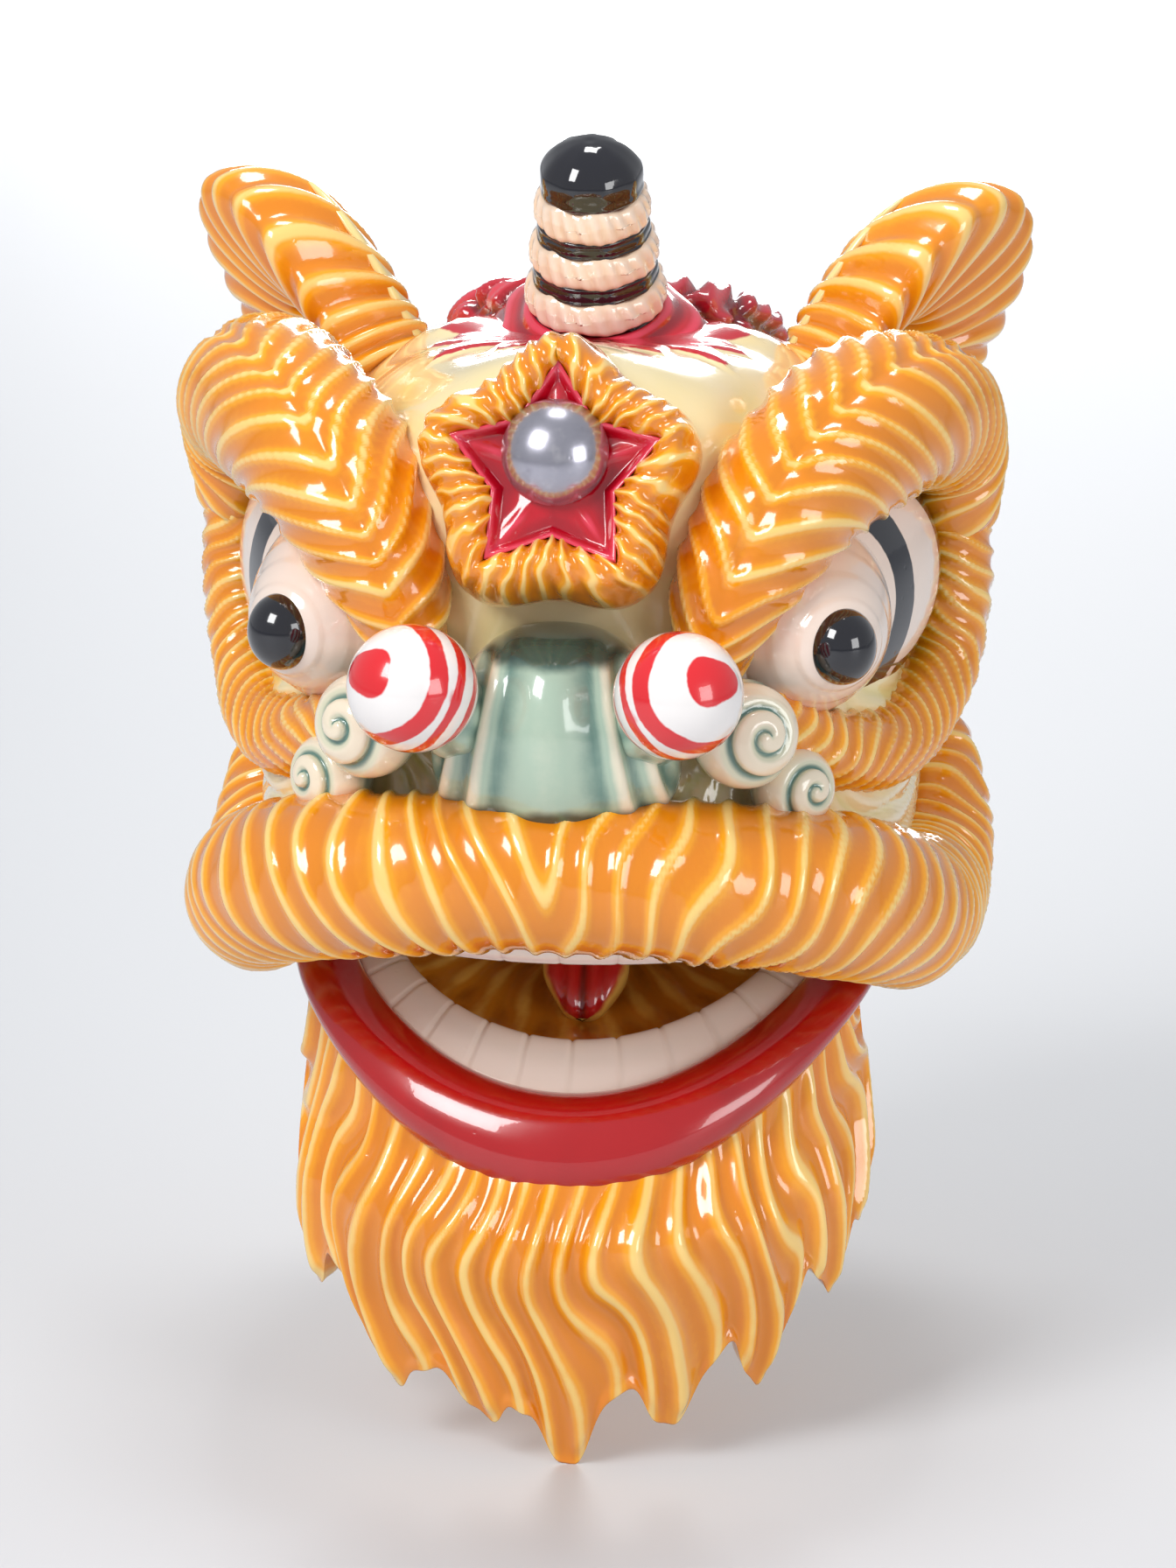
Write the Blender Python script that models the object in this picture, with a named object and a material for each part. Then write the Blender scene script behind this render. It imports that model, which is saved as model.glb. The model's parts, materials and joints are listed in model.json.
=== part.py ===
"""Glazed ceramic lion dance head: a hollow head with modelled brows, eyes, ears, horn, nose, jaw and beard.

Metres, +Z up. The face looks along -Y and the lion's left side is +X. The origin is the seat
inside the crown, where the wearer's head touches. The pieces are first placed from the cheek line, and one
empty then drops them so that the seat lies at the origin.
"""

import math

import bmesh
import bpy
from mathutils import Matrix, Vector

MM = 0.001

# The head's main sizes, measured from the cheek line under the horn
HALF_WIDTH = 42.0 * MM
FRONT_REACH = 42.0 * MM
BACK_REACH = 50.0 * MM
CROWN_RISE = 50.0 * MM
RIM_DROP = 31.0 * MM
CORE_DROP = 14.0 * MM
REAR_RIM_DROP = 10.5 * MM
RIM_TURN = 5.0 * MM
WALL = 3.0 * MM
SEAT_GAP = 0.3 * MM
BOSS_RISE = 9.0 * MM
BOSS_SPREAD = 12.0 * MM

# Fur rolls
LIP_RADIUS = 10.2 * MM
BROW_RADIUS = 10.2 * MM
LID_RADIUS = 5.6 * MM
RIM_BAND_RADIUS = 3.6 * MM
GARLAND_RADIUS = 4.4 * MM
SCROLL_RADIUS = 1.5 * MM

# Eyes
EYE_LENGTH = 47.0 * MM
EYE_HEIGHT = 33.0 * MM
EYE_BULGE = 9.0 * MM
EYE_DOME_RADIUS = 13.2 * MM
EYE_DOME_REACH = 15.5 * MM
PUPIL_RADIUS = 4.4 * MM

# Ears
EAR_REACH = 35.0 * MM
EAR_CUP_WIDTH = 13.6 * MM
EAR_CUP_HEIGHT = 22.0 * MM
EAR_PAN_THICKNESS = 3.6 * MM
EAR_TRIM_THICKNESS = 10.4 * MM
EAR_CURL = 4.0 * MM

# Cheek discs
DISC_RADIUS = 13.6 * MM
DISC_RISE = 3.2 * MM
DISC_SINK = 9.0 * MM
FLOWER_RADIUS = 6.4 * MM
FLOWER_RISE = 1.8 * MM

# Horn
HORN_BASE_RADIUS = 9.4 * MM
HORN_TIP_RADIUS = 6.2 * MM
HORN_LEAN = math.radians(20.0)
HORN_RING_HEIGHT = 4.6 * MM
HORN_BAND_HEIGHT = 1.7 * MM
HORN_CAP_HEIGHT = 6.6 * MM
SKIRT_RADIUS = 17.0 * MM
SKIRT_HEIGHT = 4.4 * MM

# Forehead star
STAR_RADIUS = 13.4 * MM
STAR_NOTCH_RADIUS = 7.8 * MM
STAR_TRIM_REACH = 17.6 * MM
STAR_TRIM_NOTCH = 14.4 * MM
STAR_TRIM_RISE = 2.6 * MM
STAR_TILT = math.radians(22.0)
PEARL_RADIUS = 6.7 * MM

# Nose
NOSE_HALF_WIDTH = 15.5 * MM
NOSE_HEIGHT = 25.0 * MM
NOSE_DEPTH = 25.0 * MM
NOSE_BALL_RADIUS = 7.9 * MM
STALK_RADIUS = 4.6 * MM
STALK_LENGTH = 9.0 * MM
CURL_RADIUS = 6.4 * MM

# Mouth, jaw and beard
JAW_HALF_WIDTH = 38.0 * MM
JAW_REACH = 37.5 * MM
JAW_TOP_DROP = 30.0 * MM
JAW_DIP = 21.0 * MM
JAW_WALL = 3.0 * MM
LINING_WALL = 2.0 * MM
GUM_HEIGHT = 3.6 * MM
LINING_REACH = 0.56
LINING_BACK = 0.10
TONGUE_LENGTH = 14.0 * MM
TONGUE_WIDTH = 11.0 * MM
TONGUE_THICKNESS = 9.0 * MM
BEARD_LENGTH = 59.0 * MM
BEARD_THICKNESS = 5.5 * MM

# Nape
NAPE_HALF_WIDTH = 10.0 * MM
NAPE_TOP = 42.0 * MM
NAPE_BOTTOM = 1.5 * MM
NAPE_RISE = 1.2 * MM

# Mesh fineness
HEAD_SEGMENTS = 28
HEAD_ROWS = 10

# The head's level sections: how far down from the crown, and the reach to each side, front and back,
# all as shares of the main sizes
HEAD_SECTIONS = (
    # drop, side, front, back
    (0.000, 0.00, 0.00, 0.00),
    (0.012, 0.42, 0.48, 0.42),
    (0.060, 0.66, 0.74, 0.64),
    (0.146, 0.81, 0.84, 0.77),
    (0.268, 0.90, 0.84, 0.87),
    (0.427, 0.96, 0.84, 0.94),
    (0.585, 1.00, 0.90, 0.98),
    (0.720, 1.00, 0.98, 1.00),
    (0.850, 0.97, 0.93, 1.00),
    (1.000, 0.92, 0.84, 0.98),
)
FRONT_SQUARENESS = 2.4
BACK_SQUARENESS = 3.3

# Paths of the fur rolls as shares of the head's reach to the side, to the front (-) or back (+),
# and up to the crown (+) or down to the rim (-), with the roll's radius as a share of its own
LIP_PATH = (
    # side, front or back, up or down, radius
    (0.00, -1.100, -0.23, 0.95),
    (0.25, -1.090, -0.24, 0.97),
    (0.52, -1.020, -0.28, 1.00),
    (0.78, -0.860, -0.37, 1.00),
    (0.93, -0.600, -0.52, 0.97),
    (0.99, -0.300, -0.67, 0.93),
    (1.02, 0.060, -0.73, 0.86),
    (1.05, 0.260, -0.62, 0.74),
    (1.06, 0.400, -0.42, 0.58),
    (1.06, 0.480, -0.26, 0.40),
)
BROW_PATH = (
    # side, front or back, up or down, radius
    (0.44, -0.90, 0.36, 0.42),
    (0.51, -0.87, 0.56, 0.74),
    (0.68, -0.73, 0.79, 0.98),
    (0.88, -0.46, 0.90, 1.04),
    (1.02, -0.14, 0.87, 0.94),
    (1.09, 0.06, 0.74, 0.74),
    (1.10, 0.12, 0.58, 0.60),
)
LID_PATH = (
    # side, front or back, up or down, radius
    (1.10, 0.12, 0.56, 0.90),
    (1.10, 0.11, 0.36, 1.00),
    (1.06, 0.02, 0.16, 1.00),
    (0.95, -0.32, 0.05, 1.00),
    (0.78, -0.64, 0.09, 0.96),
    (0.62, -0.84, 0.20, 0.80),
)
RIM_BAND_PATH = (
    # side, front or back, up or down, radius
    (0.99, 0.14, -0.92, 0.80),
    (1.02, 0.36, -0.76, 1.00),
    (1.00, 0.62, -0.55, 1.00),
    (0.88, 0.86, -0.38, 1.00),
    (0.52, 1.00, -0.27, 1.00),
    (0.00, 1.01, -0.24, 1.00),
)
GARLAND_PATH = (
    # side, front or back, up or down, radius
    (0.36, 0.83, 0.70, 0.80),
    (0.40, 0.76, 0.80, 1.00),
    (0.43, 0.66, 0.91, 0.95),
    (0.30, 0.52, 1.03, 1.00),
    (0.00, 0.48, 1.07, 1.00),
)
# How far out and up the nape's scroll runs, as shares of its plate
SCROLL_PATH = (
    # side, up, radius
    (0.00, 1.00, 1.00),
    (0.55, 0.99, 1.00),
    (0.96, 0.88, 1.00),
    (1.10, 0.66, 1.00),
    (1.18, 0.36, 1.00),
    (1.34, 0.12, 1.00),
    (1.75, 0.02, 1.00),
    (2.12, 0.10, 1.10),
    (2.02, 0.22, 1.40),
)

# Centres, as the same shares
EYE_CENTRE = (0.73, -0.40, 0.46)
EYE_AXIS = Vector((0.845, -0.534, 0.06)).normalized()
PUPIL_AXIS = Vector((0.52, -0.85, -0.03)).normalized()
DOME_CENTRE = (0.66, -0.58, 0.42)
DISC_CENTRE = (0.86, 0.64, 0.26)
DISC_AXIS = Vector((0.82, 0.55, 0.15)).normalized()
EAR_CUP = (0.68, 0.53, 0.84)
EAR_UP = Vector((0.49, -0.06, 0.87)).normalized()
EAR_FACE = Vector((0.76, -0.45, -0.46)).normalized()
HORN_BASE = (0.0, 0.16, 1.00)
STAR_CENTRE = (0.0, -1.03, 0.87)
NOSE_CENTRE = (0.0, -0.98, 0.21)
NOSE_BALL_CENTRE = (0.39, -1.29, 0.37)
STALK_AXIS = Vector((0.42, -0.74, 0.52)).normalized()
CURL_CENTRES = (
    # side, front or back, up or down, radius
    (0.56, -1.00, 0.21, 1.00),
    (0.69, -0.85, 0.04, 0.80),
)

# The ear's outline about its cup: the turn from the rear edge over the top, and the reach
EAR_OUTLINE = (
    # turn, reach
    (-0.347, 0.40),
    (-0.250, 0.38),
    (-0.170, 0.43),
    (-0.106, 0.50),
    (0.010, 0.56),
    (0.100, 0.68),
    (0.170, 0.84),
    (0.220, 0.93),
    (0.265, 0.94),
    (0.310, 0.84),
    (0.360, 0.64),
    (0.420, 0.47),
    (0.528, 0.38),
    (0.653, 0.40),
)
EAR_TRIM_START = -0.17
EAR_TRIM_END = 0.60

# The beard's level sections: how far down from the mouth's corner, and the reach to each side and the front
BEARD_SECTIONS = (
    # fall, side, front
    (0.00, 0.93, 0.90),
    (0.30, 0.98, 0.98),
    (0.47, 1.01, 1.17),
    (0.69, 0.99, 1.08),
    (1.00, 0.86, 0.92),
)
BEARD_BACK = 0.12

# The beard's lower edge: the turn round the chin in quarter turns, and the length as a share of the longest lock
BEARD_LOCKS = (
    # turn, length
    (-1.00, 0.16),
    (-0.90, 0.38),
    (-0.82, 0.52),
    (-0.72, 0.67),
    (-0.62, 0.63),
    (-0.44, 0.84),
    (-0.30, 0.86),
    (-0.14, 0.90),
    (0.00, 1.00),
    (0.13, 0.88),
    (0.26, 0.90),
    (0.40, 0.78),
    (0.50, 0.82),
    (0.62, 0.62),
    (0.72, 0.65),
    (0.82, 0.52),
    (0.90, 0.38),
    (1.00, 0.16),
)


def at(side, reach, level):
    """A point given as shares of the head's sizes, measured from the cheek line."""
    return Vector(
        (
            side * HALF_WIDTH,
            reach * (FRONT_REACH if reach < 0 else BACK_REACH),
            level * (CROWN_RISE if level > 0 else RIM_DROP),
        )
    )


def mirrored(point, side):
    """The same point or direction on the lion's left (1) or right (-1)."""
    return Vector((point[0] * side, point[1], point[2]))


def blend_rows(rows, where):
    """Smooth value at `where` in a table whose first column grows, through every row."""
    last = len(rows) - 1
    if where <= rows[0][0]:
        return rows[0][1:]
    if where >= rows[last][0]:
        return rows[last][1:]
    index = max(i for i in range(last) if rows[i][0] <= where)
    t = (where - rows[index][0]) / (rows[index + 1][0] - rows[index][0])
    before, after = rows[max(index - 1, 0)], rows[min(index + 2, last)]
    here, there = rows[index], rows[index + 1]
    found = []
    for column in range(1, len(here)):
        span = there[0] - here[0]
        slope_in = (there[column] - before[column]) / (there[0] - before[0]) * span
        slope_out = (after[column] - here[column]) / (after[0] - here[0]) * span
        found.append(
            (2 * t**3 - 3 * t**2 + 1) * here[column]
            + (t**3 - 2 * t**2 + t) * slope_in
            + (3 * t**2 - 2 * t**3) * there[column]
            + (t**3 - t**2) * slope_out
        )
    return tuple(found)


def smooth_path(rows, count):
    """`count` evenly timed points, with radii, on a smooth curve through a table of placed rows."""
    numbered = [(index, *row) for index, row in enumerate(rows)]
    steps = [i * (len(rows) - 1) / (count - 1) for i in range(count)]
    return [blend_rows(numbered, step) for step in steps]


HEAD_DEPTH = CROWN_RISE + RIM_DROP
SECTION_CURVE = [(math.sqrt(row[0]), *row[1:]) for row in HEAD_SECTIONS]
BOSS_CENTRE = at(0.0, -0.72, 0.90)


def bare_head_point(turn, drop):
    """A point on the smooth head before the forehead boss. Turn 0 is the front."""
    side, front, back = blend_rows(SECTION_CURVE, math.sqrt(max(drop, 0.0)))
    across, along = abs(math.sin(turn)), abs(math.cos(turn))
    facing = math.cos(turn) > 0
    squareness = FRONT_SQUARENESS if facing else BACK_SQUARENESS
    reach = front * FRONT_REACH if facing else back * BACK_REACH
    if drop <= 0.0:
        return Vector((0.0, 0.0, CROWN_RISE))
    radius = (
        (across / (side * HALF_WIDTH)) ** squareness + (along / reach) ** squareness
    ) ** (-1.0 / squareness)
    return Vector(
        (
            radius * math.sin(turn),
            -radius * math.cos(turn),
            CROWN_RISE - drop * HEAD_DEPTH,
        )
    )


def head_point(turn, drop, lift=0.0):
    """A point on the head's outside with the forehead boss, raised square to the surface by `lift`."""
    here = bare_head_point(turn, drop)
    if drop < 1e-4:
        normal = Vector((0.0, 0.0, 1.0))
    else:
        step = 0.004
        along = bare_head_point(turn + step, drop) - bare_head_point(turn - step, drop)
        down = bare_head_point(turn, drop + step) - bare_head_point(
            turn, max(drop - step, 0.0)
        )
        normal = down.cross(along).normalized()
    away = (here - BOSS_CENTRE).length / BOSS_SPREAD
    boss = BOSS_RISE * math.exp(-0.5 * away**2)
    return here + normal * (boss + lift)


def rim_drop_at(turn):
    """How far down the head's wall runs at a turn, as a share of its depth."""
    reach = bare_head_point(turn, 0.9).y
    fade = min(max((abs(reach) - RIM_TURN) / (BACK_REACH - RIM_TURN), 0.0), 1.0)
    if reach < 0.0:
        fade = min(abs(reach) / FRONT_REACH, 1.0)
    drop = RIM_DROP - fade * (RIM_DROP - REAR_RIM_DROP)
    return (CROWN_RISE + drop) / HEAD_DEPTH


def glaze(name, colour, roughness=0.12):
    """A glossy coloured glaze."""
    material = bpy.data.materials.get(name)
    if material is None:
        material = bpy.data.materials.new(name)
        material.use_nodes = True
        shader = material.node_tree.nodes["Principled BSDF"]
        shader.inputs["Base Color"].default_value = (*colour, 1.0)
        shader.inputs["Roughness"].default_value = roughness
        shader.inputs["Metallic"].default_value = 0.0
    return material


GLAZES = {
    "pale_yellow_glaze": (0.86, 0.66, 0.20),
    "orange_glaze": (0.85, 0.33, 0.02),
    "cream_glaze": (0.82, 0.64, 0.48),
    "black_glaze": (0.01, 0.01, 0.015),
    "red_glaze": (0.60, 0.01, 0.02),
    "green_glaze": (0.23, 0.38, 0.30),
    "brown_glaze": (0.50, 0.17, 0.02),
    "white_glaze": (0.85, 0.78, 0.72),
    "silver_glaze": (0.42, 0.42, 0.46),
}


def keep(obj, colour):
    """Puts a finished piece in the head's collection, on the seat datum, with its glaze."""
    head_pieces.objects.link(obj)
    obj.parent = seat_datum
    obj.data.materials.clear()
    obj.data.materials.append(glaze(colour, GLAZES[colour]))
    return obj


def as_cutter(obj):
    """Sets an object aside as a cutter, which is never a piece."""
    cutters.objects.link(obj)
    obj.parent = seat_datum
    obj.hide_render = True
    obj.display_type = "WIRE"
    return obj


def cut_by(obj, *tools):
    """Cuts a piece back to clear each tool."""
    for tool in tools:
        modifier = obj.modifiers.new("clear_" + tool.name, "BOOLEAN")
        modifier.operation = "DIFFERENCE"
        modifier.solver = "EXACT"
        modifier.object = tool
    return obj


def object_from(bm, name):
    """A mesh object from a bmesh, in triangles that are turned outwards."""
    bmesh.ops.triangulate(bm, faces=bm.faces[:], quad_method="FIXED")
    bmesh.ops.recalc_face_normals(bm, faces=bm.faces[:])
    mesh = bpy.data.meshes.new(name)
    bm.to_mesh(mesh)
    bm.free()
    return bpy.data.objects.new(name, mesh)


def loft(name, rings, closed=False):
    """A solid through a row of closed rings of points, capped at both ends or closed into a loop."""
    bm = bmesh.new()
    made = [[bm.verts.new(point) for point in ring] for ring in rings]
    count = len(made)
    for row in range(count if closed else count - 1):
        here, there = made[row], made[(row + 1) % count]
        for i in range(len(here)):
            j = (i + 1) % len(here)
            bm.faces.new((here[i], here[j], there[j], there[i]))
    if not closed:
        bm.faces.new(made[0])
        bm.faces.new(made[-1])
    return object_from(bm, name)


def head_wall_rows(lift, bottom=None):
    """Rings of the head's surface from just under the crown down to its rim, or to a level `bottom`."""
    turns = [2 * math.pi * i / HEAD_SEGMENTS for i in range(HEAD_SEGMENTS)]
    rows = []
    for row in range(1, HEAD_ROWS + 1):
        share = (row / HEAD_ROWS) ** 2
        rows.append(
            [head_point(t, share * (bottom or rim_drop_at(t)), lift) for t in turns]
        )
    return rows


def head_surface(bm, rows, crown):
    """Faces over the rings, closed at the crown."""
    top = bm.verts.new(crown)
    made = [[bm.verts.new(point) for point in ring] for ring in rows]
    for i in range(HEAD_SEGMENTS):
        j = (i + 1) % HEAD_SEGMENTS
        bm.faces.new((top, made[0][i], made[0][j]))
        for upper, lower in zip(made, made[1:]):
            bm.faces.new((upper[i], lower[i], lower[j], upper[j]))
    return made[-1]


def head_shell():
    """The hollow head: outside and inside walls joined along the rim."""
    bm = bmesh.new()
    outer = head_surface(bm, head_wall_rows(0.0), head_point(0.0, 0.0))
    inner = head_surface(bm, head_wall_rows(-WALL), head_point(0.0, 0.0, -WALL))
    for i in range(HEAD_SEGMENTS):
        j = (i + 1) % HEAD_SEGMENTS
        bm.faces.new((outer[i], outer[j], inner[j], inner[i]))
    return object_from(bm, "head_shell")


def head_core():
    """The head's outer volume, carried on below the rim: what sits on the head is cut by it."""
    bm = bmesh.new()
    rows = head_wall_rows(0.0)
    below = [Vector((p.x, p.y, p.z - CORE_DROP)) for p in rows[-1]]
    edge = head_surface(bm, rows + [below], head_point(0.0, 0.0))
    bm.faces.new(edge)
    return object_from(bm, "head_core")


def clearance(piece, gap=SEAT_GAP):
    """A cutter shaped like a piece but larger all round by the gap that its neighbours keep."""
    bm = bmesh.new()
    bm.from_mesh(piece.data)
    bm.normal_update()
    moves = [(v, v.normal * gap * min(v.calc_shell_factor(), 2.0)) for v in bm.verts]
    for vert, move in moves:
        vert.co += move
    tool = as_cutter(object_from(bm, piece.name + "_clearance"))
    bpy.data.meshes.remove(piece.data)
    return tool


def placed_path(table, side=1):
    """A table of shares as points and radii."""
    return [(*mirrored(at(*row[:3]), side), row[3]) for row in table]


def both_sides(table):
    """A half path that starts or ends at the middle, carried over to the other side."""
    placed = placed_path(table)
    if abs(placed[0][0]) < abs(placed[-1][0]):
        placed = placed[::-1]
    other = [(-row[0], *row[1:]) for row in placed[::-1]]
    return placed + other[1:]


def roll(name, rows, count, radius, fineness=2, taper=0.45):
    """A round roll along a smooth path through placed rows, with its ends rounded off."""
    points = smooth_path(rows, count)
    curve = bpy.data.curves.new(name, "CURVE")
    curve.dimensions = "3D"
    curve.bevel_depth = radius
    curve.bevel_resolution = fineness
    curve.use_fill_caps = True
    spline = curve.splines.new("POLY")
    first, last = Vector(points[0][:3]), Vector(points[-1][:3])
    toward = (first - Vector(points[1][:3])).normalized()
    beyond = (last - Vector(points[-2][:3])).normalized()
    ends = (
        (first + toward * radius * points[0][3] * 0.5, points[0][3] * taper),
        (last + beyond * radius * points[-1][3] * 0.5, points[-1][3] * taper),
    )
    full = [
        (ends[0][0], ends[0][1]),
        *((Vector(p[:3]), p[3]) for p in points),
        (ends[1][0], ends[1][1]),
    ]
    spline.points.add(len(full) - 1)
    for point, (place, share) in zip(spline.points, full):
        point.co = (*place, 1.0)
        point.radius = share
    return meshed(bpy.data.objects.new(name, curve))


def meshed(curve_object):
    """A curve object as a mesh object, with its loose caps welded."""
    bpy.context.scene.collection.objects.link(curve_object)
    graph = bpy.context.evaluated_depsgraph_get()
    mesh = bpy.data.meshes.new_from_object(curve_object.evaluated_get(graph))
    name = curve_object.name
    bm = bmesh.new()
    bm.from_mesh(mesh)
    bmesh.ops.remove_doubles(bm, verts=bm.verts[:], dist=0.00001)
    bpy.data.objects.remove(curve_object)
    bpy.data.meshes.remove(mesh)
    return object_from(bm, name)


def frame_on(origin, axis, up):
    """A placing matrix whose Z runs along `axis` and whose Y leans to `up`."""
    z = axis.normalized()
    x = up.cross(z).normalized()
    y = z.cross(x)
    turn = Matrix((x, y, z)).transposed().to_4x4()
    return Matrix.Translation(origin) @ turn


def ball(name, place, radii, segments=12, rings=8):
    """An ellipsoid in a placing frame."""
    bm = bmesh.new()
    bmesh.ops.create_uvsphere(bm, u_segments=segments, v_segments=rings, radius=1.0)
    bmesh.ops.transform(bm, matrix=place @ Matrix.Diagonal((*radii, 1.0)), verts=bm.verts[:])
    return object_from(bm, name)


def turned(name, place, profile, segments=16):
    """A turned solid: the profile of (radius, height) pairs is spun about the frame's Z and capped."""
    rings = []
    for radius, height in profile:
        ring = []
        for i in range(segments):
            angle = 2 * math.pi * i / segments
            local = Vector((radius * math.cos(angle), radius * math.sin(angle), height))
            ring.append(place @ local)
        rings.append(ring)
    return loft(name, rings)


# Fur rolls round the face


def upper_lip():
    return roll("upper_lip", both_sides(LIP_PATH), 23, LIP_RADIUS, fineness=3)


def brow(side):
    return roll(side_name("brow", side), placed_path(BROW_PATH, side), 10, BROW_RADIUS, fineness=3)


def lid(side):
    return roll(side_name("lid", side), placed_path(LID_PATH, side), 10, LID_RADIUS, fineness=1, taper=0.7)


def rim_band():
    return roll("rim_band", both_sides(RIM_BAND_PATH), 17, RIM_BAND_RADIUS, fineness=1)


def garland():
    return roll("garland", both_sides(GARLAND_PATH), 11, GARLAND_RADIUS)


def nape_scroll():
    """The thin cord that frames the nape plate and curls outwards at its foot."""
    rows = []
    for out, up, share in SCROLL_PATH:
        level = NAPE_BOTTOM + (NAPE_TOP - NAPE_BOTTOM) * up
        rows.append((*back_point(out * NAPE_HALF_WIDTH, level, 0.5 * SCROLL_RADIUS), share))
    other = [(-row[0], *row[1:]) for row in rows[:0:-1]]
    return roll("nape_scroll", other + rows, 23, SCROLL_RADIUS, fineness=0)


def back_point(across, level, lift):
    """The point on the back of the head at a sideways place and a level, raised by `lift`."""
    drop = (CROWN_RISE - level) / HEAD_DEPTH
    turn = math.pi
    for _ in range(6):
        turn += (bare_head_point(turn, drop).x - across) / BACK_REACH
    return head_point(turn, drop, lift)


def nape_plate():
    """The arched plate on the nape, left bare."""
    bm = bmesh.new()
    across, up = 4, 7
    sheets = []
    for lift in (NAPE_RISE, SEAT_GAP):
        sheet = []
        for j in range(up + 1):
            share = j / up
            level = NAPE_BOTTOM + (NAPE_TOP - NAPE_BOTTOM - 2 * SCROLL_RADIUS) * share
            arch = max(share - 0.8, 0.0) / 0.2
            half = (NAPE_HALF_WIDTH - 1.6 * SCROLL_RADIUS) * math.sqrt(1.0 - 0.75 * arch**2)
            row = [back_point(half * (2 * i / across - 1), level, lift) for i in range(across + 1)]
            sheet.append([bm.verts.new(point) for point in row])
        sheets.append(sheet)
    stitch(bm, *sheets)
    return object_from(bm, "nape_plate")


def stitch(bm, outer, inner):
    """Faces over two grids of vertices, joined round their edges."""
    rows, columns = len(outer) - 1, len(outer[0]) - 1
    for i in range(rows):
        for j in range(columns):
            bm.faces.new((outer[i][j], outer[i + 1][j], outer[i + 1][j + 1], outer[i][j + 1]))
            bm.faces.new((inner[i][j], inner[i][j + 1], inner[i + 1][j + 1], inner[i + 1][j]))
        bm.faces.new((outer[i][0], inner[i][0], inner[i + 1][0], outer[i + 1][0]))
        bm.faces.new((outer[i][-1], outer[i + 1][-1], inner[i + 1][-1], inner[i][-1]))
    for j in range(columns):
        bm.faces.new((outer[0][j], outer[0][j + 1], inner[0][j + 1], inner[0][j]))
        bm.faces.new((outer[-1][j], inner[-1][j], inner[-1][j + 1], outer[-1][j + 1]))


def side_name(name, side):
    return name + ("_left" if side > 0 else "_right")


# Eyes


def eye(side):
    """The almond eye white with the dome that carries the pupil."""
    place = frame_on(mirrored(at(*EYE_CENTRE), side), mirrored(EYE_AXIS, side), Vector((0, 0, 1)))
    radii = (EYE_LENGTH / 2, EYE_HEIGHT / 2, EYE_BULGE)
    white = ball(side_name("eye", side), place, radii, segments=12, rings=7)
    modifier = white.modifiers.new("join_dome", "BOOLEAN")
    modifier.operation = "UNION"
    modifier.solver = "EXACT"
    modifier.object = as_cutter(eye_dome(side))
    return white


def dome_frame(side):
    centre = mirrored(at(*DOME_CENTRE), side)
    return frame_on(centre, mirrored(PUPIL_AXIS, side), Vector((0, 0, 1)))


def eye_dome(side):
    radii = (EYE_DOME_RADIUS, EYE_DOME_RADIUS, EYE_DOME_REACH)
    return ball(side_name("eye_dome", side), dome_frame(side), radii, segments=12, rings=6)


def pupil(side):
    """A black bead set on the tip of the eye's dome."""
    place = dome_frame(side) @ Matrix.Translation((0, 0, EYE_DOME_REACH - 0.4 * PUPIL_RADIUS))
    radii = (PUPIL_RADIUS, PUPIL_RADIUS, 0.8 * PUPIL_RADIUS)
    return ball(side_name("pupil", side), place, radii, segments=12, rings=8)


# Ears


def ear_frame(side):
    """Z out of the cup, Y up the ear."""
    return frame_on(mirrored(at(*EAR_CUP), side), mirrored(EAR_FACE, side), mirrored(EAR_UP, side))


def ear_place(side, turn, reach, height):
    """A point of the ear at a turn round its cup, from the rear edge over the top."""
    angle = 2 * math.pi * turn
    across = reach * math.cos(angle) * side
    return ear_frame(side) @ Vector((across, reach * math.sin(angle), height))


def ear_reach(turn):
    return EAR_REACH * blend_rows(EAR_OUTLINE, turn)[0]


def cup_reach(turn):
    """The cup's oval edge."""
    angle = 2 * math.pi * turn
    across, up = math.cos(angle) / (EAR_CUP_WIDTH / 2), math.sin(angle) / (EAR_CUP_HEIGHT / 2)
    return 1.0 / math.hypot(across, up)


def ear_pan(side):
    """The yellow leaf of the ear, dished on its face, that carries the fur fan."""
    rings = []
    profile = (
        # share of reach, height
        (0.05, -1.10),
        (0.55, -1.00),
        (0.80, -0.55),
        (0.84, 0.00),
        (0.50, -0.08),
        (0.05, -0.16),
    )
    turns = [EAR_OUTLINE[0][0] + i / 16 for i in range(16)]
    for share, height in profile:
        rings.append(
            [ear_place(side, t, share * ear_reach(t), height * EAR_PAN_THICKNESS) for t in turns]
        )
    return loft(side_name("ear", side), rings)


def ear_trim(side):
    """The fur fan round the ear's cup, open where the ear meets the head, its edge curled forward."""
    rings = []
    steps = 15
    for i in range(steps + 1):
        t = i / steps
        turn = EAR_TRIM_START + (EAR_TRIM_END - EAR_TRIM_START) * t
        inner, outer = cup_reach(turn), ear_reach(turn)
        middle, half = (inner + outer) / 2, (outer - inner) / 2
        thick = EAR_TRIM_THICKNESS * (0.62 + 0.38 * math.sin(math.pi * t)) / 2
        ring = []
        for k in range(8):
            angle = 2 * math.pi * k / 8
            out = math.cos(angle)
            curl = EAR_CURL * (0.5 + 0.5 * out) ** 2
            ring.append(
                ear_place(side, turn, middle + half * out, thick * (0.9 + math.sin(angle)) + curl)
            )
        rings.append(ring)
    return loft(side_name("ear_trim", side), rings)


# Cheek discs


def disc_frame(side, rise=0.0):
    place = frame_on(mirrored(at(*DISC_CENTRE), side), mirrored(DISC_AXIS, side), Vector((0, 0, 1)))
    return place @ Matrix.Translation((0, 0, rise))


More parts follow.
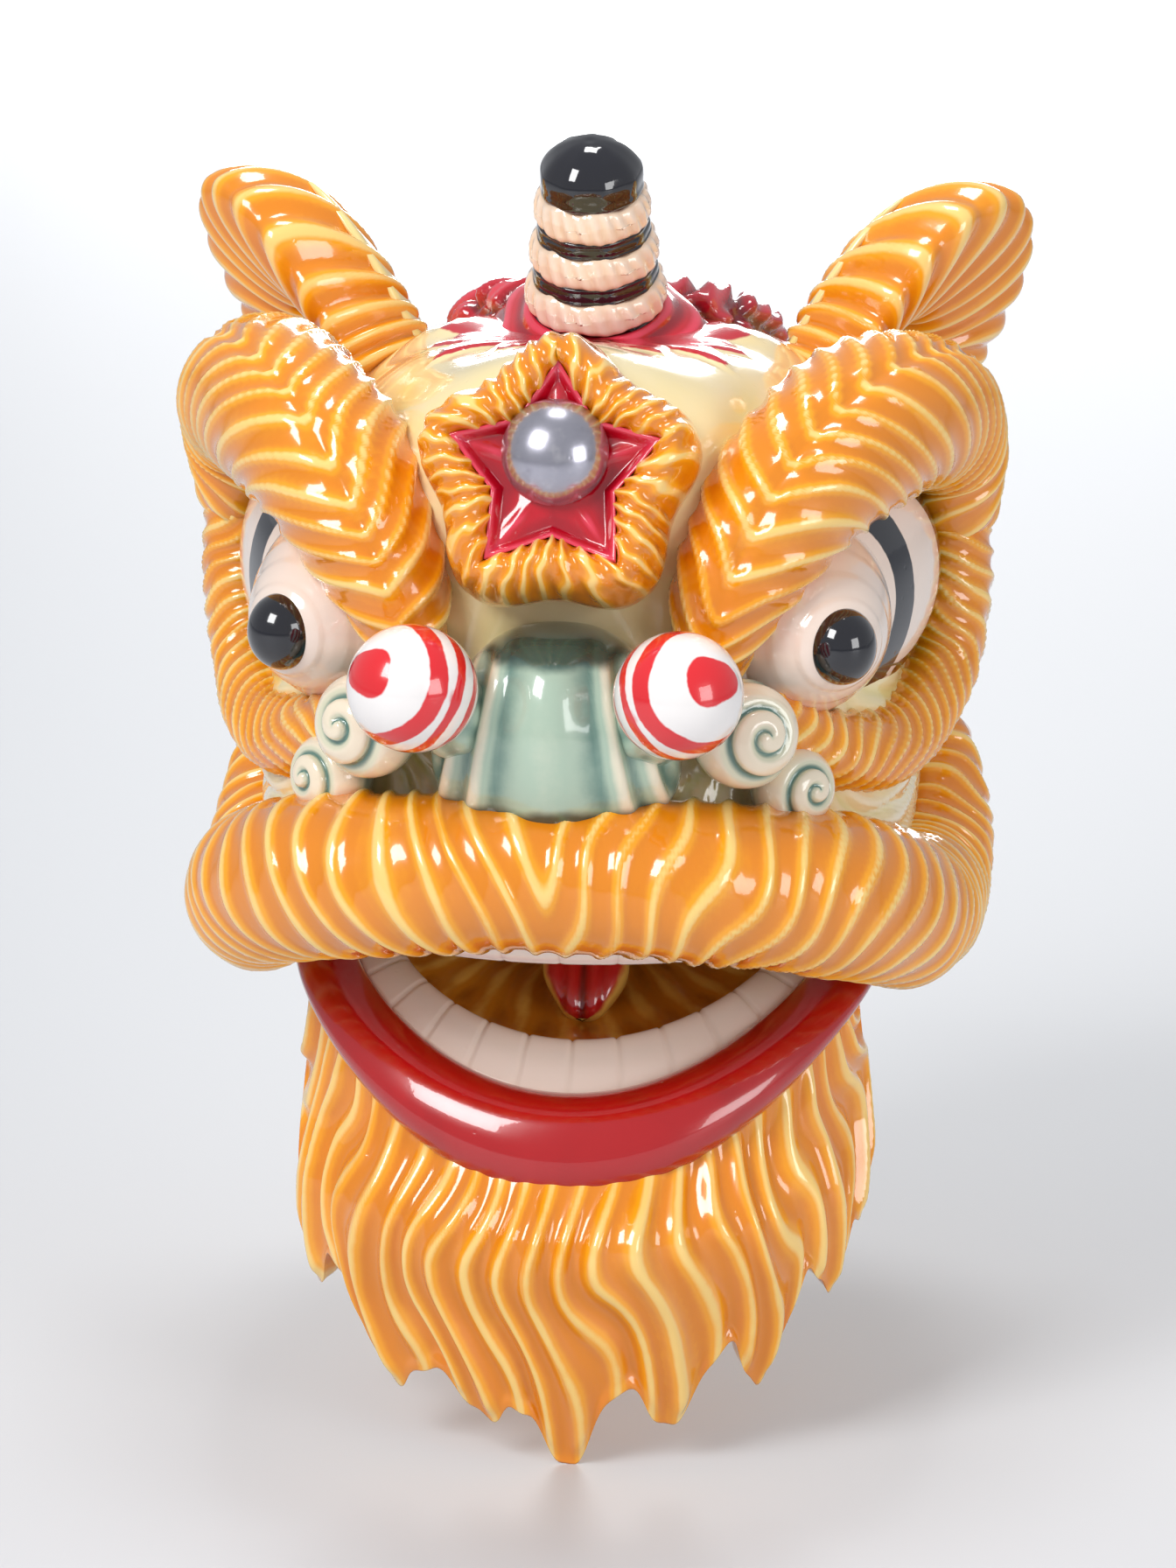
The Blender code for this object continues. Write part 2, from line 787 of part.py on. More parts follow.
def cheek_disc(side):
    """A low round boss sunk into the cheek, with a seat for its flower."""
    profile = (
        (DISC_RADIUS, -DISC_SINK),
        (DISC_RADIUS, 0.25 * DISC_RISE),
        (0.80 * DISC_RADIUS, DISC_RISE),
        (FLOWER_RADIUS + SEAT_GAP, DISC_RISE),
        (FLOWER_RADIUS, DISC_RISE - SEAT_GAP),
    )
    return turned(side_name("cheek_disc", side), disc_frame(side), profile)


def disc_flower(side):
    """The domed flower in the middle of a disc."""
    profile = (
        (FLOWER_RADIUS - SEAT_GAP, 0.0),
        (FLOWER_RADIUS - SEAT_GAP, 0.4 * FLOWER_RISE),
        (0.6 * FLOWER_RADIUS, FLOWER_RISE),
    )
    return turned(side_name("disc_flower", side), disc_frame(side, DISC_RISE), profile, segments=16)


# Horn


def horn_frame(rise=0.0):
    """Z up the horn, which leans forward over the brow."""
    axis = Vector((0.0, -math.sin(HORN_LEAN), math.cos(HORN_LEAN)))
    place = frame_on(at(*HORN_BASE), axis, Vector((0.0, 1.0, 0.0)))
    return place @ Matrix.Translation((0, 0, rise))


def horn_skirt():
    """The red flared collar that the horn stands on."""
    profile = (
        (SKIRT_RADIUS * 1.1, -2.6 * SKIRT_HEIGHT),
        (SKIRT_RADIUS, -1.1 * SKIRT_HEIGHT),
        (HORN_BASE_RADIUS * 1.12, 0.25 * SKIRT_HEIGHT),
        (HORN_BASE_RADIUS * 1.02, SKIRT_HEIGHT),
    )
    return turned("horn_skirt", horn_frame(), profile, segments=18)


def horn_radius(height):
    """The horn's radius at a height above its skirt."""
    share = height / horn_height()
    return HORN_BASE_RADIUS + (HORN_TIP_RADIUS - HORN_BASE_RADIUS) * share


def horn_height():
    return 3 * HORN_RING_HEIGHT + 2 * HORN_BAND_HEIGHT + HORN_CAP_HEIGHT


def horn_pieces():
    """Cream rings and black bands stacked up the horn, under a black cap."""
    base = SKIRT_HEIGHT + SEAT_GAP
    made = []
    height = 0.0
    stack = (
        ("horn_ring_lower", HORN_RING_HEIGHT, "ring"),
        ("horn_band_lower", HORN_BAND_HEIGHT, "band"),
        ("horn_ring_middle", HORN_RING_HEIGHT, "ring"),
        ("horn_band_upper", HORN_BAND_HEIGHT, "band"),
        ("horn_ring_upper", HORN_RING_HEIGHT, "ring"),
        ("horn_cap", HORN_CAP_HEIGHT, "cap"),
    )
    for name, tall, kind in stack:
        low, high = horn_radius(height), horn_radius(height + tall)
        top = tall - SEAT_GAP
        if kind == "ring":
            profile = ((0.88 * low, 0.0), (low, 0.25 * top), (0.97 * high, 0.75 * top), (0.84 * high, top))
        elif kind == "band":
            profile = ((0.84 * low, 0.0), (0.84 * high, top))
        else:
            profile = (
                (0.80 * low, 0.0),
                (0.86 * low, 0.25 * top),
                (0.74 * low, 0.62 * top),
                (0.48 * low, 0.88 * top),
                (0.16 * low, top),
            )
        colour = "cream_glaze" if kind == "ring" else "black_glaze"
        made.append((turned(name, horn_frame(base + height), profile, segments=14), colour))
        height += tall
    return made


# Forehead star


def star_frame(rise=0.0):
    """Z out of the forehead, Y up it."""
    axis = Vector((0.0, -math.cos(STAR_TILT), math.sin(STAR_TILT)))
    place = frame_on(at(*STAR_CENTRE), axis, Vector((0.0, 0.0, 1.0)))
    return place @ Matrix.Translation((0, 0, rise))


def star_reach(angle, tip, notch):
    """The distance to a five-pointed star's edge at an angle from its top point."""
    part = math.pi / 5
    fold = abs((angle + part) % (2 * part) - part)
    across = tip * notch * math.sin(part)
    return across / (notch * math.sin(part - fold) + tip * math.sin(fold))


def forehead_star():
    """The red star plate, deep enough to reach the forehead behind it."""
    ring = []
    for i in range(10):
        angle = math.pi / 2 + i * math.pi / 5
        reach = STAR_RADIUS if i % 2 == 0 else STAR_NOTCH_RADIUS
        ring.append((reach * math.cos(angle), reach * math.sin(angle)))
    place = star_frame()
    depth = 0.9 * STAR_TRIM_REACH
    rings = [[place @ Vector((x, y, z)) for x, y in ring] for z in (-depth, 0.0)]
    return loft("forehead_star", rings)


def star_trim():
    """The lobed fur roll round the star, hollow where the star plate goes in."""
    place = star_frame()
    depth = 0.8 * STAR_TRIM_REACH
    rings = []
    steps = 25
    for i in range(steps):
        turn = 2 * math.pi * i / steps
        lobe = 0.5 + 0.5 * math.cos(5 * turn)
        outer = STAR_TRIM_NOTCH + (STAR_TRIM_REACH - STAR_TRIM_NOTCH) * lobe
        inner = star_reach(turn, STAR_RADIUS, STAR_NOTCH_RADIUS) + SEAT_GAP
        width = outer - inner
        section = (
            (inner, -depth),
            (inner, -0.2 * STAR_TRIM_RISE),
            (inner + 0.35 * width, STAR_TRIM_RISE),
            (inner + 0.72 * width, 0.4 * STAR_TRIM_RISE),
            (outer, -0.25 * STAR_TRIM_REACH),
            (outer, -depth),
        )
        angle = math.pi / 2 + turn
        rings.append([place @ Vector((r * math.cos(angle), r * math.sin(angle), z)) for r, z in section])
    return loft("star_trim", rings, closed=True)


def forehead_pearl():
    """The silver half bead on the star."""
    place = star_frame(SEAT_GAP) @ Matrix.Translation((0, 0.18 * STAR_RADIUS, 0))
    profile = [
        (PEARL_RADIUS * math.cos(math.radians(a)), PEARL_RADIUS * 0.86 * math.sin(math.radians(a)))
        for a in (0, 20, 40, 60, 80)
    ]
    return turned("forehead_pearl", place, profile, segments=18)


# Nose


def nose():
    """The ribbed snout, wider towards the lip."""
    bm = bmesh.new()
    bmesh.ops.create_uvsphere(bm, u_segments=14, v_segments=8, radius=1.0)
    centre = at(*NOSE_CENTRE)
    for vert in bm.verts:
        flare = 1.0 - 0.46 * vert.co.z
        stretch = Vector((NOSE_HALF_WIDTH * flare, NOSE_DEPTH / 2, NOSE_HEIGHT / 2))
        vert.co = centre + vert.co * stretch
    return object_from(bm, "nose")


def stalk_frame(side, rise=0.0):
    centre = mirrored(at(*NOSE_BALL_CENTRE), side)
    place = frame_on(centre, mirrored(STALK_AXIS, side), Vector((0, 0, 1)))
    return place @ Matrix.Translation((0, 0, rise))


def nose_ball(side):
    radii = [NOSE_BALL_RADIUS] * 3
    return ball(side_name("nose_ball", side), stalk_frame(side), radii)


def nose_stalk(side):
    """The short stalk that carries a ball out of the nose."""
    low = -NOSE_BALL_RADIUS - STALK_LENGTH
    profile = (
        (STALK_RADIUS * 1.25, low),
        (STALK_RADIUS, -0.85 * NOSE_BALL_RADIUS - 0.4 * STALK_LENGTH),
        (STALK_RADIUS * 1.15, -0.55 * NOSE_BALL_RADIUS),
    )
    return turned(side_name("nose_stalk", side), stalk_frame(side), profile, segments=10)


def nostril_curl(side, index):
    """One of the curls beside the nose."""
    *centre, share = CURL_CENTRES[index]
    radius = CURL_RADIUS * share
    name = side_name(("nostril_curl", "whisker_curl")[index], side)
    place = Matrix.Translation(mirrored(at(*centre), side))
    return ball(name, place, (radius, radius, radius), segments=10, rings=6)


# Mouth, jaw and beard


def mouth_point(turn, side_share, reach_share, drop, dip):
    """A point of the horseshoe mouth. Turn 0 is the front, and a quarter turn is a corner."""
    bow = math.cos(turn) ** 2
    return Vector(
        (
            side_share * JAW_HALF_WIDTH * math.sin(turn),
            -reach_share * JAW_REACH * math.cos(turn),
            -JAW_TOP_DROP * drop - JAW_DIP * dip * bow,
        )
    )


def horseshoe(name, section, steps=14, quarter=0.97):
    """A strip swept round the mouth through a section of rows (side, reach, drop, dip)."""
    rings = []
    for i in range(steps + 1):
        turn = math.pi / 2 * quarter * (2 * i / steps - 1)
        rings.append([mouth_point(turn, *row) for row in section])
    return loft(name, rings)


LOWER_LIP_SECTION = (
    # side, reach, drop, dip
    (0.820, 0.790, 0.975, 0.620),
    (0.920, 0.950, 0.955, 0.640),
    (1.000, 1.000, 0.990, 0.830),
    (0.990, 0.900, 1.060, 0.920),
    (0.850, 0.780, 1.090, 0.700),
)
LOWER_TEETH_SECTION = (
    # side, reach, drop, dip
    (0.660, 0.600, 0.970, 0.340),
    (0.808, 0.775, 0.985, 0.580),
    (0.838, 0.765, 1.080, 0.660),
    (0.665, 0.570, 1.060, 0.440),
)


def lower_lip():
    return horseshoe("lower_lip", LOWER_LIP_SECTION)


def lower_teeth():
    return horseshoe("lower_teeth", LOWER_TEETH_SECTION, quarter=0.93)


def upper_gum():
    """The pale ridge under the upper lip."""
    rings = []
    steps = 14
    for i in range(steps + 1):
        turn = math.pi / 2 * 0.92 * (2 * i / steps - 1)
        bow = math.cos(turn)
        low = -JAW_TOP_DROP * 0.95 + 0.25 * JAW_DIP * bow
        ring = []
        for side_share, reach_share, rise in (
            (0.74, 0.86, 0.0),
            (0.86, 1.02, 0.25),
            (0.94, 1.14, 2.4),
            (0.78, 0.92, 2.4),
        ):
            ring.append(
                Vector(
                    (
                        side_share * JAW_HALF_WIDTH * math.sin(turn),
                        -reach_share * JAW_REACH * math.cos(turn),
                        low + rise * GUM_HEIGHT * (0.4 + 0.6 * bow),
                    )
                )
            )
        rings.append(ring)
    return loft("upper_gum", rings)


def mouth_lining():
    """The brown bowl of the mouth behind the teeth."""
    bm = bmesh.new()
    around, deep = 20, 4
    rows = []
    for layer, inset in ((0, 0.0), (1, LINING_WALL)):
        for j in range(deep + 1):
            depth = j / deep if layer == 0 else 1 - j / deep
            ring = []
            for i in range(around):
                angle = 2 * math.pi * i / around
                ring.append(lining_point(angle, depth, inset))
            rows.append(ring)
    made = [[bm.verts.new(point) for point in ring] for ring in rows]
    for upper, lower in zip(made, made[1:] + made[:1]):
        for i in range(around):
            j = (i + 1) % around
            bm.faces.new((upper[i], upper[j], lower[j], lower[i]))
    bmesh.ops.remove_doubles(bm, verts=bm.verts[:], dist=0.00001)
    return object_from(bm, "mouth_lining")


def lining_point(angle, depth, inset):
    """A point of the bowl: angle round its almond edge, depth 0 at the edge and 1 at the back."""
    across, up = math.cos(angle), math.sin(angle)
    spread, back = math.cos(depth * math.pi / 2), math.sin(depth * math.pi / 2)
    reach = LINING_REACH * JAW_REACH * abs(up) * (1.0 if up < 0 else 1.35)
    rise = (0.40 if up < 0 else 0.34) * JAW_DIP * up
    return Vector(
        (
            across * (0.64 * JAW_HALF_WIDTH + inset) * spread,
            (inset - reach) * (1 - back) + (LINING_BACK * JAW_REACH + inset) * back,
            (rise + inset * up) * spread - JAW_TOP_DROP,
        )
    )


def tongue():
    """The red tongue lying on the bowl, tip to the front."""
    axis = Vector((0.0, -0.70, -0.70)).normalized()
    centre = Vector((0.0, -0.17 * JAW_REACH, -JAW_TOP_DROP * 1.06))
    place = frame_on(centre, axis, Vector((0, 0, 1)))
    radii = (TONGUE_WIDTH / 2, TONGUE_THICKNESS / 2, TONGUE_LENGTH / 2)
    return ball("tongue", place, radii, segments=12, rings=8)


def jaw_point(turn, depth, inset):
    """The jaw's bowl: depth 0 along the lip and 1 at the keel under the chin."""
    edge = mouth_point(turn, 0.93, 0.86, 1.08, 0.84)
    keel = Vector((0.0, 0.02 * JAW_REACH, -JAW_TOP_DROP - 0.72 * JAW_DIP))
    fall = 0.34 * JAW_DIP * math.sin(math.pi * depth) * (0.35 + 0.65 * math.cos(turn))
    point = edge.lerp(keel, depth)
    outward = Vector((point.x, point.y - 0.1 * JAW_REACH, 0.0))
    outward = outward.normalized() if outward.length > 1e-6 else Vector((0.0, 0.0, 0.0))
    away = (outward * (1 - depth) + Vector((0.0, 0.0, -1.0)) * (0.35 + depth)).normalized()
    return point + Vector((0.0, 0.0, -fall)) - away * inset


def jaw():
    """The orange underjaw: a bowl under the teeth, open to the neck."""
    bm = bmesh.new()
    steps, deep = 14, 3
    sheets = []
    for inset in (0.0, JAW_WALL):
        sheet = []
        for i in range(steps + 1):
            turn = math.pi / 2 * 0.97 * (2 * i / steps - 1)
            sheet.append([bm.verts.new(jaw_point(turn, 0.88 * j / deep, inset)) for j in range(deep + 1)])
        sheets.append(sheet)
    stitch(bm, *sheets)
    return object_from(bm, "jaw")


def beard_point(turn_share, down, inset):
    """The beard's sheet: turn_share -1 to 1 round the chin, down 0 at the lip and 1 at the lock's tip."""
    turn = math.pi / 2 * turn_share
    top = mouth_point(turn, 0.99, 0.93, 1.03, 0.86).z
    tip = -JAW_TOP_DROP - BEARD_LENGTH * blend_rows(BEARD_LOCKS, turn_share)[0]
    level = top + (tip - top) * down
    fall = (-JAW_TOP_DROP - level) / BEARD_LENGTH
    side, front = blend_rows(BEARD_SECTIONS, fall)
    half = side * JAW_HALF_WIDTH - inset
    reach = (front - BEARD_BACK) * JAW_REACH - inset
    return Vector((half * math.sin(turn), -BEARD_BACK * JAW_REACH - reach * math.cos(turn), level))


def beard():
    """The hanging beard, a sheet of locks bent round the chin."""
    bm = bmesh.new()
    steps, deep = 24, 3
    sheets = []
    for inset in (0.0, BEARD_THICKNESS):
        sheet = []
        for i in range(steps + 1):
            share = 0.94 * (2 * i / steps - 1)
            column = []
            for j in range(deep + 1):
                down = j / deep
                thin = inset * min(0.36 + 2.4 * down, 1.0) * (1.0 - 0.5 * down)
                column.append(bm.verts.new(beard_point(share, down, thin)))
            sheet.append(column)
        sheets.append(sheet)
    stitch(bm, *sheets)
    return object_from(bm, "beard")


def clear_scene():
    for obj in list(bpy.data.objects):
        bpy.data.objects.remove(obj)


def new_collection(name):
    made = bpy.data.collections.new(name)
    bpy.context.scene.collection.children.link(made)
    return made


clear_scene()
head_pieces = new_collection("lion_dance_head")
cutters = new_collection("cutters")
seat_datum = bpy.data.objects.new("seat_datum", None)
seat_datum.location = (0.0, 0.0, WALL - CROWN_RISE)
head_pieces.objects.link(seat_datum)


def build():
    """Makes every piece and cuts each back to what it sits against."""
    core = clearance(head_core())
    lip_tool = clearance(upper_lip())
    nose_tool = clearance(nose())
    trim_tool = clearance(star_trim())
    skirt_tool = clearance(horn_skirt())
    garland_tool = clearance(garland())
    scroll_tool = clearance(nape_scroll())
    jaw_tool = clearance(jaw())
    lower_lip_tool = clearance(lower_lip())
    teeth_tool = clearance(lower_teeth())
    gum_tool = clearance(upper_gum())
    shell_tool = clearance(head_shell())
    lining_tool = clearance(mouth_lining())

    keep(head_shell(), "pale_yellow_glaze")
    keep(cut_by(upper_lip(), core), "orange_glaze")
    keep(cut_by(nose(), core, lip_tool), "green_glaze")
    keep(cut_by(star_trim(), core), "orange_glaze")
    keep(cut_by(forehead_star(), core), "red_glaze")
    keep(forehead_pearl(), "silver_glaze")
    keep(cut_by(horn_skirt(), core), "red_glaze")
    for piece, colour in horn_pieces():
        keep(piece, colour)
    keep(cut_by(garland(), core, skirt_tool), "red_glaze")
    keep(cut_by(nape_scroll(), core, garland_tool), "green_glaze")
    keep(cut_by(nape_plate(), core, garland_tool, scroll_tool), "pale_yellow_glaze")
    keep(cut_by(rim_band(), core, lip_tool), "orange_glaze")

    for side in (1, -1):
        brow_tool = clearance(brow(side))
        lid_tool = clearance(lid(side))
        fan_tool = clearance(ear_trim(side))
        disc_tool = clearance(cheek_disc(side))
        stalk_tool = clearance(nose_stalk(side))
        ball_tool = clearance(nose_ball(side))
        curl_tool = clearance(nostril_curl(side, 0))
        dome_tool = clearance(eye_dome(side))
        keep(cut_by(brow(side), core, nose_tool, trim_tool), "orange_glaze")
        keep(cut_by(lid(side), core, brow_tool, nose_tool), "orange_glaze")
        keep(cut_by(eye(side), core, brow_tool, lid_tool, nose_tool), "cream_glaze")
        keep(cut_by(pupil(side), dome_tool), "black_glaze")
        keep(cut_by(ear_trim(side), core, brow_tool, disc_tool, garland_tool), "orange_glaze")
        keep(cut_by(ear_pan(side), core, fan_tool, brow_tool, disc_tool), "pale_yellow_glaze")
        keep(cut_by(cheek_disc(side), core), "cream_glaze")
        keep(disc_flower(side), "red_glaze")
        keep(nose_ball(side), "white_glaze")
        keep(cut_by(nose_stalk(side), ball_tool, nose_tool), "green_glaze")
        by_nose = (core, nose_tool, lip_tool, lid_tool, brow_tool)
        keep(cut_by(nostril_curl(side, 0), *by_nose, stalk_tool, ball_tool), "green_glaze")
        keep(cut_by(nostril_curl(side, 1), *by_nose, curl_tool), "green_glaze")

    keep(cut_by(jaw(), lip_tool), "orange_glaze")
    keep(cut_by(lower_lip(), lip_tool, jaw_tool, shell_tool), "red_glaze")
    keep(cut_by(lower_teeth(), lip_tool, jaw_tool, lower_lip_tool), "white_glaze")
    keep(cut_by(upper_gum(), lip_tool, teeth_tool), "white_glaze")
    keep(cut_by(mouth_lining(), lip_tool, teeth_tool, gum_tool), "brown_glaze")
    keep(cut_by(tongue(), lining_tool), "red_glaze")
    keep(cut_by(beard(), jaw_tool, lower_lip_tool, lip_tool), "orange_glaze")


build()
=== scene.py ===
"""The looks of a hollow glazed ceramic lion dance head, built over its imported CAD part.

Lengths are in metres. Shapes are worked out from the cheek line, which is CROWN_RISE less the wall
below the seat where the frame has its origin, and are let down by that much at the end.
The face looks along -Y, and the lion's left side is +X.
"""

import json
import logging
import math
from dataclasses import dataclass
from enum import Enum
from typing import Callable, Optional, Sequence

import bmesh
import bpy
import numpy as np
from mathutils import Matrix, Vector


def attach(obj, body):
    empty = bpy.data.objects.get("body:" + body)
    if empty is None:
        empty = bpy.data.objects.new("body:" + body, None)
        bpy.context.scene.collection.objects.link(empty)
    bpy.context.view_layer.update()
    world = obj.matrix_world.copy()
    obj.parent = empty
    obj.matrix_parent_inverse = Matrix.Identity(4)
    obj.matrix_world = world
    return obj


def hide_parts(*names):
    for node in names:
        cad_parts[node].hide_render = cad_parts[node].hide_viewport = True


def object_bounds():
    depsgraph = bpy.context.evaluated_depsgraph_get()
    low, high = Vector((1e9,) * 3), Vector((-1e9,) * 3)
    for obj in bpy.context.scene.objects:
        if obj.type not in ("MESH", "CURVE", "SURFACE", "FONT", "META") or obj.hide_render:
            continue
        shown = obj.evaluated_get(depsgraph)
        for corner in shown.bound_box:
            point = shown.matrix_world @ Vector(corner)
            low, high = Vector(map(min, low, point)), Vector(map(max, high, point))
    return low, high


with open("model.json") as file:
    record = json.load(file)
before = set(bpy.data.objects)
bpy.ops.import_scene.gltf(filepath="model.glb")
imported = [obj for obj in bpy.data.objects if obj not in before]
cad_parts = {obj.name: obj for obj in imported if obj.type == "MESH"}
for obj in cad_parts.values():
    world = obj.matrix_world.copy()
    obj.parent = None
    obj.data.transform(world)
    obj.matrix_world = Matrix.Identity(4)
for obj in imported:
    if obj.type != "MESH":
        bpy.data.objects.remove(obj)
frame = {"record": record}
CAD_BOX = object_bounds()

log = logging.getLogger("lion_dance_head")

Array = np.ndarray
Colour = tuple[float, float, float]
Point = tuple[float, float, float]
Rows = Sequence[Sequence[float]]
Piece = bpy.types.Object
Socket = bpy.types.NodeSocket
Tree = bpy.types.NodeTree

MM = 0.001
FULL_TURN = 2 * math.pi
HALF_WIDTH = 42.0 * MM
FRONT_REACH = 42.0 * MM
BACK_REACH = 50.0 * MM
CROWN_RISE = 50.0 * MM
RIM_DROP = 31.0 * MM
REAR_RIM_DROP = 10.5 * MM
RIM_TURN = 5.0 * MM
WALL = 3.0 * MM
SEAT_DROP = CROWN_RISE - WALL
HEAD_DEPTH = CROWN_RISE + RIM_DROP
JAW_HALF_WIDTH = 38.0 * MM
JAW_REACH = 37.5 * MM
JAW_TOP_DROP = 30.0 * MM
JAW_DIP = 21.0 * MM
UP = (0.0, 0.0, 1.0)
# a mark that keeps its brush well away, in millimetres
UNBRUSHED = -9.0
COURSE_STEPS = 900


class Side(Enum):
    """The lion's two sides, with the sign of their X."""

    LEFT = 1
    RIGHT = -1

    @property
    def word(self) -> str:
        """The ending of a node's name."""
        return self.name.lower()


# Curves and noise


def smooth_rows(rows: Rows, where: Array) -> Array:
    """Smooth values through a table whose first column grows.

    Args:
        rows: the table, a key and its values in each row.
        where: the keys to look up.

    Returns:
        One row of values for each key.
    """
    table = np.array(rows, float)
    keys, values = table[:, 0], table[:, 1:]
    last = len(keys) - 1
    where = np.clip(where, keys[0], keys[last])
    here = np.clip(np.searchsorted(keys, where, side="right") - 1, 0, last - 1)
    there = here + 1
    before, after = np.maximum(here - 1, 0), np.minimum(here + 2, last)
    span = keys[there] - keys[here]
    t = ((where - keys[here]) / span)[:, None]
    lean_in = (values[there] - values[before]) / (keys[there] - keys[before])[:, None] * span[:, None]
    lean_out = (values[after] - values[here]) / (keys[after] - keys[here])[:, None] * span[:, None]
    return (
        (2 * t**3 - 3 * t**2 + 1) * values[here]
        + (t**3 - 2 * t**2 + t) * lean_in
        + (3 * t**2 - 2 * t**3) * values[there]
        + (t**3 - t**2) * lean_out
    )


def numbered(rows: Rows) -> list[tuple[float, ...]]:
    """The rows with their place in the table as the first column."""
    return [(float(i), *row) for i, row in enumerate(rows)]


def closed_rows(rows: Rows, where: Array) -> Array:
    """Smooth values round a closed outline, for places from 0 to 1 along it."""
    table = [(float(i) - 1.0, *row) for i, row in enumerate([rows[-1], *rows, rows[0], rows[1]])]
    return smooth_rows(table, np.mod(where, 1.0) * len(rows))


def ease(value: Array, low: float, high: float) -> Array:
    """0 below `low`, 1 above `high`, and smooth between. The two may be the other way round."""
    t = np.clip((value - low) / (high - low), 0.0, 1.0)
    return t * t * (3 - 2 * t)


def hill(value: Array, centre: float = 0.0, spread: float = 1.0) -> Array:
    """A smooth hill of height 1 about a centre."""
    return np.exp(-(((value - centre) / spread) ** 2))


def ripple(phase: Array) -> Array:
    """A wave between 0 and 1 that stands at 1 on every whole number."""
    return 0.5 + 0.5 * np.cos(FULL_TURN * phase)


def wander(x: Array, y: Array, seed: float = 0.0) -> Array:
    """Smooth wandering values over a plane.

    Args:
        x: places one way, a few units to a wave.
        y: places the other way.
        seed: sets one use apart from another.

    Returns:
        Values between about -1 and 1.
    """
    return (
        np.sin(1.7 * x + 2.3 * y + seed)
        + np.sin(-2.9 * x + 1.3 * y + 2.1 * seed + 1.0)
        + np.sin(3.7 * x - 4.1 * y + 0.7 * seed + 4.0)
    ) / 3


def chance(index: Array, seed: float = 0.0) -> Array:
    """A settled random value from 0 to 1 for each whole number."""
    wave = np.sin(index * 12.9898 + seed * 4.137 + 0.5) * 4375.85
    return wave - np.floor(wave)


def unit(vectors: Array) -> Array:
    """Vectors brought to length 1."""
    return vectors / np.maximum(np.linalg.norm(vectors, axis=-1, keepdims=True), 1e-12)


def columns(*parts: Array) -> Array:
    """Columns of x, y and z as points."""
    return np.stack(np.broadcast_arrays(*parts), axis=-1).astype(float)


def bump_at(points: Array, centre: Sequence[float], spread: float) -> Array:
    """A soft hill of height 1 about a centre in space."""
    away = np.linalg.norm(points - np.array(centre), axis=-1) / spread
    return np.exp(-0.5 * away**2)


def at(side: float, reach: float, level: float) -> Point:
    """A point given as shares of the head's sizes, from the cheek line."""
    reach_unit = FRONT_REACH if reach < 0 else BACK_REACH
    return side * HALF_WIDTH, reach * reach_unit, level * (CROWN_RISE if level > 0 else RIM_DROP)


def frame_on(origin: Sequence[float], axis: Sequence[float], up: Sequence[float] = UP) -> Matrix:
    """A placing matrix.

    Args:
        origin: its middle.
        axis: the direction of its Z.
        up: the direction that its Y leans to.

    Returns:
        The matrix.
    """
    z = Vector(axis).normalized()
    x = Vector(up).cross(z).normalized()
    turn = Matrix((x, z.cross(x), z)).transposed().to_4x4()
    return Matrix.Translation(Vector(origin)) @ turn


def moved(place: Matrix, points: Array) -> Array:
    """Points taken from a placing frame's own space into the head's."""
    grid = np.array(place)
    return points @ grid[:3, :3].T + grid[:3, 3]


def around(place: Matrix, radius: Array, turn: Array, height: Array) -> Array:
    """Points at radii, turns and heights about a placing frame's Z."""
    return moved(place, columns(radius * np.cos(turn), radius * np.sin(turn), height))


@dataclass
class Form:
    """The points of a surface with the values marked on them for its finish."""

    points: Array
    marks: dict[str, Array]


Shape = Callable[[Array, Array], Form]
Dress = Callable[[Array], dict[str, Array]]
Turn = Callable[[Array, Array, Array], Form]


def dressed(points: Array, crest: Array, tone: Array = 0.5, **marks: Array) -> Form:
    """A form marked with its crests, tones and any brushed patches."""
    return Form(points, {"crest": crest, "tone": tone, **marks})


# Sweeps along a line


@dataclass(frozen=True)
class Course:
    """A finely stepped line with a radius at each step."""

    far: Array
    line: Array
    radii: Array

    def spots(self, rows: Array, place: Array) -> Array:
        """Values of three columns at distances along the line."""
        return columns(*(np.interp(place, self.far, rows[:, i]) for i in range(3)))

    def sweep(self, place: Array, beyond: Array, facing: Callable[[Array], Array]) -> tuple[Array, ...]:
        """Where a swept section stands.

        Args:
            place: distances along the line.
            beyond: how far it stands beyond the line's ends, in radii.
            facing: gives the outward direction for points.

        Returns:
            The middles, the outward directions, the sideways directions and the radii.
        """
        slope = np.gradient(self.line, self.far + np.arange(len(self.far)) * 1e-12, axis=0)
        tangent = unit(self.spots(slope, place))
        radius = np.interp(place, self.far, self.radii)
        middle = self.spots(self.line, place) + tangent * (beyond * radius)[:, None]
        outward = facing(middle)
        outward = unit(outward - tangent * np.sum(outward * tangent, axis=1)[:, None])
        return middle, outward, np.cross(tangent, outward), radius


def mirrored(rows: Rows) -> list[tuple[float, ...]]:
    """A path from the middle plane outwards, led on from its mirror image."""
    return [(-row[0], *row[1:]) for row in rows[:0:-1]] + list(rows)


def fine_rows(rows: Rows) -> Array:
    """A path's rows closely spaced."""
    return smooth_rows(numbered(rows), np.linspace(0, len(rows) - 1, COURSE_STEPS))


